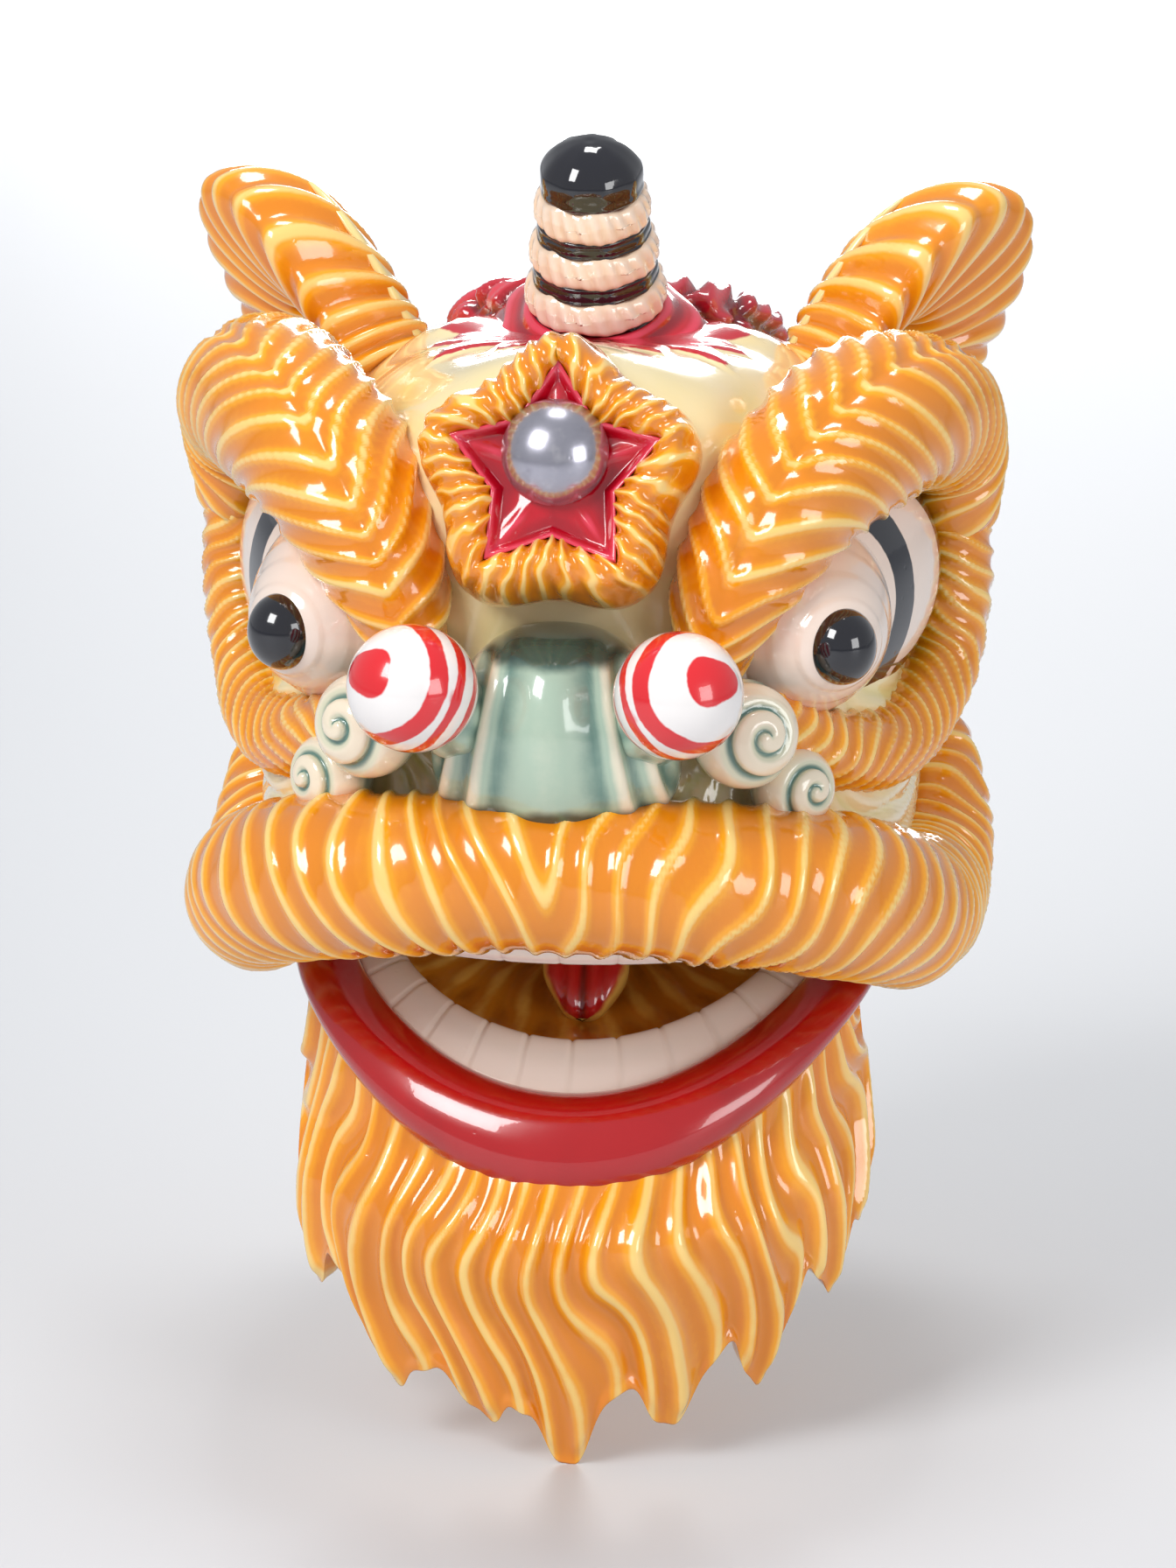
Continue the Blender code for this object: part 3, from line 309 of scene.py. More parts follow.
def ends(w: Array, cap: float) -> tuple[Array, Array, Array, Array]:
    """The rounded ends of a sweep.

    Args:
        w: places along the whole sweep from 0 to 1.
        cap: the share that each end takes.

    Returns:
        The share of the line between the ends, how far beyond it from -1 to 1, the section's share,
        and how far into an end.
    """
    first, last = np.clip((cap - w) / cap, 0, 1), np.clip((w - 1 + cap) / cap, 0, 1)
    share = np.clip((w - cap) / (1 - 2 * cap), 0, 1)
    beyond = np.sin(last * math.pi / 2) - np.sin(first * math.pi / 2)
    tip = np.maximum(first, last)
    return share, beyond, np.cos(tip * math.pi / 2), tip


# Meshes


def mesh_object(name: str, mesh: bpy.types.Mesh) -> Piece:
    """A smooth-shaded object in the scene.

    Args:
        name: its name.
        mesh: its mesh.

    Returns:
        The object.
    """
    obj = bpy.data.objects.new(name, mesh)
    bpy.context.scene.collection.objects.link(obj)
    mesh.polygons.foreach_set("use_smooth", [True] * len(mesh.polygons))
    return obj


def skin(name: str, across: int, along: int, shape: Shape, side: Side = Side.LEFT) -> Piece:
    """A closed surface: a grid laid over a shape, with its seams and poles welded.

    Args:
        name: the piece's name.
        across: how many faces the grid has one way.
        along: how many it has the other way.
        shape: gives the form for places from 0 to 1 across and along.
        side: RIGHT mirrors the shape.

    Returns:
        The piece, let down to the seat.
    """
    bm = bmesh.new()
    bmesh.ops.create_grid(bm, x_segments=across, y_segments=along, size=0.5)
    mesh = base_mesh(name, bm)
    flat = points_of(mesh) + 0.5
    return finish_mesh(name, mesh, shape(flat[:, 0], flat[:, 1]), side)


def base_mesh(name: str, bm: bmesh.types.BMesh) -> bpy.types.Mesh:
    """A mesh made from a bmesh, which is freed.

    Args:
        name: its name.
        bm: the bmesh.

    Returns:
        The mesh.
    """
    mesh = bpy.data.meshes.new(name)
    bm.to_mesh(mesh)
    bm.free()
    return mesh


def points_of(mesh: bpy.types.Mesh) -> Array:
    """The points of a mesh.

    Args:
        mesh: the mesh.

    Returns:
        Its points as rows.
    """
    flat = np.empty(len(mesh.vertices) * 3)
    mesh.vertices.foreach_get("co", flat)
    return flat.reshape(-1, 3)


def finish_mesh(name: str, mesh: bpy.types.Mesh, form: Form, side: Side) -> Piece:
    """Gives a base mesh its form and marks, and welds its seams and poles.

    Args:
        name: the piece's name.
        mesh: the base, whose points are moved.
        form: where its points go and what they are marked with.
        side: RIGHT mirrors the form.

    Returns:
        The piece, let down to the seat.
    """
    count = len(mesh.vertices)
    points = form.points * (side.value, 1.0, 1.0) - (0.0, 0.0, SEAT_DROP)
    mesh.vertices.foreach_set("co", points.ravel())
    for mark, values in form.marks.items():
        layer = mesh.attributes.new(mark, "FLOAT", "POINT")
        layer.data.foreach_set("value", np.broadcast_to(values, count).astype(float))
    bm = bmesh.new()
    bm.from_mesh(mesh)
    bmesh.ops.remove_doubles(bm, verts=bm.verts[:], dist=0.004 * MM)
    bmesh.ops.dissolve_degenerate(bm, edges=bm.edges[:], dist=0.001 * MM)
    bmesh.ops.recalc_face_normals(bm, faces=bm.faces[:])
    bm.to_mesh(mesh)
    bm.free()
    return mesh_object(name, mesh)


def ball(name: str, radii: Sequence[float], place: Matrix, dress: Dress, side: Side) -> Piece:
    """An ellipsoid piece.

    Args:
        name: the piece's name.
        radii: its three half lengths.
        place: its placing frame.
        dress: gives the marks for points in its own space.
        side: RIGHT mirrors it.

    Returns:
        The piece.
    """
    bm = bmesh.new()
    bmesh.ops.create_uvsphere(bm, u_segments=64, v_segments=40, radius=1.0)
    bmesh.ops.scale(bm, verts=bm.verts[:], vec=radii)
    mesh = base_mesh(name, bm)
    own = points_of(mesh)
    return finish_mesh(name, mesh, Form(moved(place, own), dress(own)), side)


def turned(name: str, profile: Rows, steps: int, dress: Turn, side: Side = Side.LEFT) -> Piece:
    """A solid of revolution: a profile spun round Z, then dressed.

    Args:
        name: the piece's name.
        profile: radii and heights from one pole to the other.
        steps: how many faces go round.
        dress: gives the form for radii, turns and heights.
        side: RIGHT mirrors it.

    Returns:
        The piece.
    """
    fine = smooth_rows(numbered(profile), np.linspace(0, len(profile) - 1, 6 * len(profile)))
    bm = bmesh.new()
    corners = [bm.verts.new((max(radius, 0.0), 0.0, height)) for radius, height in fine.tolist()]
    edges = [bm.edges.new(pair) for pair in zip(corners, corners[1:])]
    bmesh.ops.spin(
        bm, geom=corners + edges, cent=(0, 0, 0), axis=(0, 0, 1), dvec=(0, 0, 0),
        angle=FULL_TURN, steps=steps, use_merge=True,
    )
    bmesh.ops.remove_doubles(bm, verts=bm.verts[:], dist=0.002 * MM)
    mesh = base_mesh(name, bm)
    own = points_of(mesh)
    radius, turn = np.hypot(own[:, 0], own[:, 1]), np.arctan2(own[:, 1], own[:, 0])
    return finish_mesh(name, mesh, dress(radius, turn, own[:, 2]), side)


def scaled(profile: Rows, radius: float, height: float) -> Rows:
    """A profile given in shares, at its own radius and height."""
    return [(share * radius, level * height) for share, level in profile]


# Finishes


class Wiring:
    """A short way to add and join the nodes of a material or group."""

    def __init__(self, tree: Tree) -> None:
        """Keeps the tree whose nodes are added."""
        self.tree = tree

    def node(self, kind: str, settings: Optional[dict] = None, **inputs: object) -> bpy.types.Node:
        """Adds a node, sets its options, and fills or joins its inputs.

        Args:
            kind: the node's type.
            settings: options of the node itself.
            inputs: values or sockets by the input's name, with _ for a space, or i0, i1 by its place.

        Returns:
            The node.
        """
        made = self.tree.nodes.new(kind)
        for key, value in (settings or {}).items():
            setattr(made, key, value)
        for key, value in inputs.items():
            socket = made.inputs[int(key[1:])] if key[1:].isdigit() else made.inputs[key.replace("_", " ")]
            if isinstance(value, Socket):
                self.tree.links.new(value, socket)
            else:
                socket.default_value = value
        return made

    def mix(self, mask: object, low: object, high: object) -> Socket:
        """A colour between two by a mask."""
        return self.node("ShaderNodeMix", {"data_type": "RGBA"}, i0=mask, i6=low, i7=high).outputs[2]

    def maths(self, operation: str, *values: object) -> Socket:
        """One sum on one to three values."""
        inputs = {f"i{i}": value for i, value in enumerate(values)}
        return self.node("ShaderNodeMath", {"operation": operation}, **inputs).outputs[0]

    def ramp(self, value: object, low: object, high: object, start: float = 0.0, end: float = 1.0) -> Socket:
        """A value eased from `start` to `end` as it goes from `low` to `high`."""
        limits = {"Value": value, "From_Min": low, "From_Max": high, "To_Min": start, "To_Max": end}
        return self.node("ShaderNodeMapRange", {"interpolation_type": "SMOOTHSTEP"}, **limits).outputs[0]

    def place(self) -> Socket:
        """Places in the object's own space."""
        return self.node("ShaderNodeTexCoord").outputs["Object"]

    def noise(self, scale: object, detail: float, rough: float) -> Socket:
        """Noise over the object's own space."""
        settings = {"Vector": self.place(), "Scale": scale, "Detail": detail, "Roughness": rough}
        return self.node("ShaderNodeTexNoise", None, **settings).outputs["Fac"]

    def drift(self, cloud: object, amount: object) -> Socket:
        """A value from 0 to 1 turned into a shift either way."""
        return self.maths("MULTIPLY", self.maths("SUBTRACT", cloud, 0.5), amount)

    def mark(self, name: str) -> Socket:
        """A value marked on the mesh."""
        return self.node("ShaderNodeAttribute", {"attribute_name": name}).outputs["Fac"]


def new_group(name: str, inputs: Sequence[tuple[str, object]], outputs: Sequence[tuple[str, str]]) -> tuple:
    """A shader node group with its sockets.

    Args:
        name: the group's name.
        inputs: each socket's name and default, which is a number or a colour.
        outputs: each socket's name and type.

    Returns:
        The group, its wiring, the input node's sockets by name and the output node.
    """
    group = bpy.data.node_groups.new(name, "ShaderNodeTree")
    for label, default in inputs:
        kind = "NodeSocketColor" if isinstance(default, tuple) else "NodeSocketFloat"
        group.interface.new_socket(name=label, in_out="INPUT", socket_type=kind).default_value = default
    for label, kind in outputs:
        group.interface.new_socket(name=label, in_out="OUTPUT", socket_type="NodeSocket" + kind)
    wires = Wiring(group)
    return group, wires, wires.node("NodeGroupInput").outputs, wires.node("NodeGroupOutput")


def pooled_glaze_group() -> Tree:
    """Runny coloured glaze: thin and pale on the crests, deep where it pools. On the garland the pale pink
    crests are a painted highlight.

    Returns:
        The group.
    """
    group, wires, given, out = new_group(
        "pooled_glaze",
        (
            ("Crest", 0.5), ("Tone", 0.5), ("Thin", (1, 1, 1, 1)), ("Body", (0.8, 0.8, 0.8, 1)),
            ("Deep", (0.5, 0.5, 0.5, 1)), ("Tone Reach", 0.4), ("Mottle Scale", 160.0), ("Mottle", 0.2),
        ),
        (("Color", "Color"),),
    )
    drift = wires.drift(wires.noise(given["Mottle Scale"], 4.0, 0.6), given["Mottle"])
    tone = wires.drift(given["Tone"], given["Tone Reach"])
    height = wires.maths("ADD", wires.maths("ADD", given["Crest"], drift), tone)
    pooled = wires.mix(wires.ramp(height, 0.0, 0.5), given["Deep"], given["Body"])
    thin = wires.mix(wires.ramp(height, 0.56, 0.98), pooled, given["Thin"])
    wires.tree.links.new(thin, out.inputs["Color"])
    return group


def brushed_edge_group() -> Tree:
    """The edge of a brushed patch of colour, a little uneven, from a marked distance in millimetres.

    Returns:
        The group.
    """
    group, wires, given, out = new_group(
        "brushed_edge",
        (("Distance", 0.0), ("Softness", 0.15), ("Wobble", 0.3), ("Wobble Scale", 400.0)),
        (("Mask", "Float"),),
    )
    drift = wires.drift(wires.noise(given["Wobble Scale"], 3.0, 0.55), given["Wobble"])
    inside = wires.maths("ADD", given["Distance"], drift)
    low = wires.maths("MULTIPLY", given["Softness"], -1.0)
    wires.tree.links.new(wires.ramp(inside, low, given["Softness"]), out.inputs["Mask"])
    return group


def fired_surface_group() -> Tree:
    """The fired glaze's surface: slow ripples, a fine skin and a few pits.

    Returns:
        The group.
    """
    group, wires, given, out = new_group(
        "fired_surface",
        (("Ripple Scale", 130.0), ("Ripple", 1.0), ("Skin", 0.12), ("Pits", 0.5), ("Gloss", 0.16)),
        (("Height", "Float"), ("Roughness", "Float")),
    )
    slow = wires.maths("MULTIPLY", wires.noise(given["Ripple Scale"], 2.0, 0.45), given["Ripple"])
    fine = wires.maths("MULTIPLY", wires.noise(1500.0, 2.0, 0.5), given["Skin"])
    cells = wires.node("ShaderNodeTexVoronoi", None, Vector=wires.place(), Scale=330.0, Randomness=1.0)
    pit = wires.maths("MULTIPLY", wires.ramp(cells.outputs["Distance"], 0.05, 0.11, 1.0, 0.0), given["Pits"])
    height = wires.maths("SUBTRACT", wires.maths("ADD", slow, fine), pit)
    wires.tree.links.new(height, out.inputs["Height"])
    patch = wires.ramp(wires.noise(55.0, 3.0, 0.6), 0.35, 0.75, 0.0, 0.10)
    wires.tree.links.new(wires.maths("ADD", given["Gloss"], patch), out.inputs["Roughness"])
    return group


@dataclass(frozen=True)
class Brush:
    """A second colour laid over a glaze where the mesh is marked for it: brushed paint, and on the snout
    painted shade.
    """

    mark: str
    colour: Colour
    deep: Colour
    softness: float = 0.15
    wobble: float = 0.3
    wobble_scale: float = 400.0


@dataclass(frozen=True)
class Glaze:
    """A fired glaze and what is brushed over it."""

    name: str
    thin: Colour
    body: Colour
    deep: Colour
    tone_reach: float = 0.4
    mottle: float = 0.2
    mottle_scale: float = 160.0
    gloss: float = 0.16
    metal: float = 0.0
    brushes: tuple[Brush, ...] = ()

    def material(self) -> bpy.types.Material:
        """The finish as a material, made once.

        Returns:
            The material.
        """
        made = bpy.data.materials.get("glaze_" + self.name)
        if made is not None:
            return made
        made = bpy.data.materials.new("glaze_" + self.name)
        made.use_nodes = True
        wires = Wiring(made.node_tree)
        colour = self.colour(wires)
        surface = wires.node("ShaderNodeGroup", {"node_tree": GROUPS["surface"]}, Gloss=self.gloss).outputs
        bump = wires.node("ShaderNodeBump", None, Strength=0.10, Distance=0.4 * MM, Height=surface["Height"])
        shader = made.node_tree.nodes["Principled BSDF"].inputs
        shader["Metallic"].default_value = self.metal
        shader["IOR"].default_value = 1.5
        shader["Coat Weight"].default_value = 1.0
        shader["Coat Roughness"].default_value = 0.03
        wires.tree.links.new(colour, shader["Base Color"])
        wires.tree.links.new(surface["Roughness"], shader["Roughness"])
        wires.tree.links.new(bump.outputs["Normal"], shader["Normal"])
        wires.tree.links.new(bump.outputs["Normal"], shader["Coat Normal"])
        return made

    def colour(self, wires: Wiring) -> Socket:
        """The colour under the gloss: pooled glaze with each brushed patch over it.

        Args:
            wires: the material's wiring.

        Returns:
            The colour.
        """
        marks = wires.mark("crest"), wires.mark("tone")
        socket = self.pooled(wires, marks, (self.thin, self.body, self.deep))
        for brush in self.brushes:
            mask = wires.node(
                "ShaderNodeGroup",
                {"node_tree": GROUPS["edge"]},
                Distance=wires.mark(brush.mark), Softness=brush.softness,
                Wobble=brush.wobble, Wobble_Scale=brush.wobble_scale,
            ).outputs["Mask"]
            paint = self.pooled(wires, marks, (brush.colour, brush.colour, brush.deep))
            socket = wires.mix(mask, socket, paint)
        return socket

    def pooled(self, wires: Wiring, marks: Sequence[Socket], colours: Sequence[Colour]) -> Socket:
        """Places the pooled glaze group.

        Args:
            wires: the material's wiring.
            marks: the crest and the tone.
            colours: the thin, body and deep colours.

        Returns:
            The colour.
        """
        thin, body, deep = ((*colour, 1.0) for colour in colours)
        return wires.node(
            "ShaderNodeGroup",
            {"node_tree": GROUPS["pooled"]},
            Crest=marks[0], Tone=marks[1], Thin=thin, Body=body, Deep=deep,
            Tone_Reach=self.tone_reach, Mottle_Scale=self.mottle_scale, Mottle=self.mottle,
        ).outputs["Color"]


GROUPS: dict[str, Tree] = {}

TEAL = (0.16, 0.30, 0.24)
DARK_TEAL = (0.035, 0.09, 0.075)
CRIMSON = (0.56, 0.004, 0.018)
WINE = (0.30, 0.002, 0.012)
FUR = Glaze("fur", (0.99, 0.66, 0.20), (0.95, 0.38, 0.006), (0.80, 0.245, 0.003), tone_reach=0.3, mottle=0.5)
FUR_RIM = Glaze("fur_rim", (0.96, 0.50, 0.08), (0.90, 0.36, 0.012), (0.76, 0.24, 0.004), mottle=0.5)
SHELL = Glaze(
    "shell", (0.96, 0.82, 0.44), (0.94, 0.76, 0.22), (0.74, 0.68, 0.03), mottle=0.18, mottle_scale=60.0,
    brushes=(
        Brush("cream", (0.90, 0.78, 0.60), (0.86, 0.72, 0.48), 3.0, 1.5, 120.0),
        Brush("green", TEAL, DARK_TEAL, 2.0, 1.0, 150.0),
        Brush("blaze", CRIMSON, WINE, 0.15, 0.6, 350.0),
    ),
)
EYE_WHITE = Glaze(
    "eye_white", (0.92, 0.80, 0.72), (0.90, 0.75, 0.65), (0.74, 0.57, 0.47), mottle=0.12,
    brushes=(Brush("black", (0.008, 0.009, 0.016), (0.004, 0.004, 0.008), 0.12, 0.5, 300.0),),
)
BLACK = Glaze("black", (0.03, 0.03, 0.045), (0.008, 0.008, 0.014), (0.003, 0.003, 0.005), gloss=0.08)
HORN_ROPE = Glaze("horn_rope", (0.94, 0.78, 0.64), (0.88, 0.66, 0.48), (0.20, 0.07, 0.04), mottle=0.4)
RED = Glaze("red", (0.80, 0.05, 0.10), CRIMSON, WINE, mottle=0.35)
RED_LIP = Glaze("red_lip", (0.56, 0.010, 0.014), (0.44, 0.002, 0.005), (0.30, 0.001, 0.004), mottle=0.25)
# the garland's pink crest colour is a painted highlight on the tops of its loops
GARLAND = Glaze("garland", (0.68, 0.05, 0.08), (0.46, 0.004, 0.018), (0.20, 0.002, 0.008), mottle=0.5)
PEARL = Glaze(
    "pearl", (0.72, 0.70, 0.74), (0.46, 0.45, 0.52), (0.25, 0.24, 0.30), mottle=1.2, mottle_scale=280.0,
    metal=0.85, gloss=0.22, brushes=(Brush("red", CRIMSON, WINE, 0.15, 0.5, 300.0),),
)
# the snout's dark teal line is painted shade where the nose meets the forehead and the lip
SNOUT = Glaze(
    "snout", (0.86, 0.80, 0.62), (0.42, 0.55, 0.43), (0.12, 0.24, 0.20), mottle=0.35,
    brushes=(Brush("line", DARK_TEAL, (0.02, 0.05, 0.04), 0.5, 1.0, 200.0),),
)
CURL = Glaze("curl", (0.90, 0.78, 0.60), (0.72, 0.70, 0.52), (0.10, 0.22, 0.18), mottle=0.3)
BALL = Glaze(
    "ball", (0.93, 0.90, 0.88), (0.90, 0.86, 0.84), (0.70, 0.62, 0.58), mottle=0.1,
    brushes=(Brush("red", (0.74, 0.012, 0.02), WINE, 0.14, 0.9, 260.0),),
)
DISC = Glaze(
    "disc", (0.90, 0.78, 0.64), (0.86, 0.72, 0.56), (0.60, 0.52, 0.40), mottle=0.15,
    brushes=(Brush("red", (0.60, 0.004, 0.02), WINE, 0.14, 0.5, 300.0),),
)
FLOWER = Glaze("flower", (0.85, 0.20, 0.26), (0.62, 0.008, 0.04), (0.26, 0.002, 0.012), mottle=0.4)
EAR = Glaze("ear", (0.95, 0.82, 0.48), (0.94, 0.76, 0.28), (0.72, 0.62, 0.06), mottle_scale=80.0)
TEETH = Glaze(
    "teeth", (0.92, 0.81, 0.73), (0.88, 0.76, 0.67), (0.60, 0.44, 0.36), mottle=0.15,
    brushes=(Brush("red", (0.55, 0.004, 0.012), WINE, 0.15, 0.4, 300.0),),
)
MOUTH = Glaze("mouth", (0.86, 0.52, 0.10), (0.62, 0.24, 0.015), (0.28, 0.08, 0.006), mottle=0.5)
TONGUE = Glaze(
    "tongue", (0.74, 0.03, 0.03), (0.56, 0.006, 0.01), (0.22, 0.002, 0.005), mottle=0.3,
    brushes=(Brush("edge", (0.90, 0.56, 0.12), (0.7, 0.3, 0.03), 0.2, 0.4, 300.0),),
)
NAPE = Glaze(
    "nape", (0.95, 0.80, 0.44), (0.94, 0.76, 0.26), (0.84, 0.68, 0.06), mottle=0.25, mottle_scale=70.0,
)
SCROLL = Glaze("scroll", (0.88, 0.80, 0.64), (0.55, 0.66, 0.55), (0.16, 0.30, 0.25), mottle=0.3)


class Lion:
    """Puts each finished piece on the part."""

    def __init__(self) -> None:
        """Reads the material slot of each CAD node."""
        self.slots = {row["node"]: row["material_slot"] for row in frame["record"]["subparts"]}

    def add(self, piece: Piece, finish: Glaze, node: str) -> None:
        """Dresses a piece, sets it on the part in place of its CAD node, and reports it.

        Args:
            piece: the finished mesh.
            finish: its glaze.
            node: the CAD node that it stands for.
        """
        piece.data.materials.clear()
        piece.data.materials.append(finish.material())
        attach(piece, "root")
        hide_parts(node)
        log.info("%s: %d faces", piece.name, len(piece.data.polygons))


# The head's own surface

HEAD_SECTIONS = (
    # drop, side, front, back
    (0.000, 0.00, 0.00, 0.00), (0.012, 0.42, 0.48, 0.42), (0.060, 0.66, 0.74, 0.64),
    (0.146, 0.81, 0.84, 0.77), (0.268, 0.90, 0.84, 0.87), (0.427, 0.96, 0.84, 0.94),
    (0.585, 1.00, 0.90, 0.98), (0.720, 1.00, 0.98, 1.00), (0.850, 0.97, 0.93, 1.00),
    (1.000, 0.92, 0.84, 0.98),
)


@dataclass(frozen=True)
class HeadForm:
    """The smooth dome that every other piece sits on."""

    front_squareness: float = 2.4
    back_squareness: float = 3.3
    boss_rise: float = 9.0 * MM
    boss_spread: float = 12.0 * MM
    boss_centre: Point = at(0.0, -0.72, 0.90)
    step: float = 0.004
    near_pole: float = 1e-4
    crown_limit: float = 0.55

    def bare(self, turn: Array, drop: Array) -> Array:
        """The dome before the forehead's boss.

        Args:
            turn: turns from the front.
            drop: shares of the way down.

        Returns:
            The points.
        """
        table = [(math.sqrt(row[0]), *row[1:]) for row in HEAD_SECTIONS]
        side, front, back = smooth_rows(table, np.sqrt(np.maximum(drop, 0.0))).T
        across, along = np.abs(np.sin(turn)), np.abs(np.cos(turn))
        facing = np.cos(turn) > 0
        power = np.where(facing, self.front_squareness, self.back_squareness)
        reach = np.where(facing, front * FRONT_REACH, back * BACK_REACH)
        top = drop <= 1e-9
        side, reach = np.where(top, 1.0, side), np.where(top, 1.0, reach)
        radius = ((across / (side * HALF_WIDTH)) ** power + (along / reach) ** power) ** (-1.0 / power)
        radius = np.where(top, 0.0, radius)
        return columns(radius * np.sin(turn), -radius * np.cos(turn), CROWN_RISE - drop * HEAD_DEPTH)

    def normals(self, turn: Array, drop: Array) -> Array:
        """Directions square to the bare dome.

        Args:
            turn: turns from the front.
            drop: shares of the way down.

        Returns:
            The directions.
        """
        ring = np.maximum(drop, self.near_pole)
        along = self.bare(turn + self.step, ring) - self.bare(turn - self.step, ring)
        down = self.bare(turn, drop + self.step) - self.bare(turn, np.maximum(drop - self.step, 0.0))
        made = unit(np.cross(down, along))
        made[drop < self.near_pole] = UP
        return made

    def surface(self, turn: Array, drop: Array, lift: Array) -> Array:
        """The outside with the forehead's boss.

        Args:
            turn: turns from the front.
            drop: shares of the way down.
            lift: how far each point is raised square to the dome.

        Returns:
            The points.
        """
        here = self.bare(turn, drop)
        boss = self.boss_rise * bump_at(here, self.boss_centre, self.boss_spread)
        return here + self.normals(turn, drop) * (boss + lift)[:, None]

    def rim(self, turn: Array) -> Array:
        """How far down the wall runs.

        Args:
            turn: turns from the front.

        Returns:
            Shares of the head's depth.
        """
        reach = self.bare(turn, np.full_like(turn, 0.9))[:, 1]
        behind = np.clip((np.abs(reach) - RIM_TURN) / (BACK_REACH - RIM_TURN), 0.0, 1.0)
        before = np.minimum(np.abs(reach) / FRONT_REACH, 1.0)
        fade = np.where(reach < 0, before, behind)
        return (CROWN_RISE + RIM_DROP - fade * (RIM_DROP - REAR_RIM_DROP)) / HEAD_DEPTH

    def above(self, x: Array, y: Array, lift: float) -> Array:
        """Points on the crown over places in plan.

        Args:
            x: sideways places.
            y: places front to back.
            lift: how far each point is raised.

        Returns:
            The points.
        """
        turn, away = np.arctan2(x, -y), np.hypot(x, y)
        low, high = np.zeros_like(x), np.full_like(x, self.crown_limit)
        for _ in range(22):
            middle = (low + high) / 2
            inside = np.linalg.norm(self.bare(turn, middle)[:, :2], axis=1) < away
            low, high = np.where(inside, middle, low), np.where(inside, high, middle)
        return self.surface(turn, (low + high) / 2, lift)

    def behind(self, across: Array, level: Array, lift: Array) -> Array:
        """Points on the back of the head.

        Args:
            across: sideways places.
            level: heights from the cheek line.
            lift: how far each point is raised.

        Returns:
            The points.
        """
        drop = (CROWN_RISE - level) / HEAD_DEPTH
        turn = np.full_like(across, math.pi)
        for _ in range(8):
            turn = turn + (self.bare(turn, drop)[:, 0] - across) / BACK_REACH
        return self.surface(turn, drop, lift)


DOME = HeadForm()
DISC_CENTRE = at(0.86, 0.64, 0.26)
DISC_AXIS = (0.82, 0.55, 0.15)
DISC_RADIUS = 13.6 * MM
EYE_CENTRE = at(0.73, -0.40, 0.46)
HORN_FOOT = at(0.0, 0.16, 1.00)


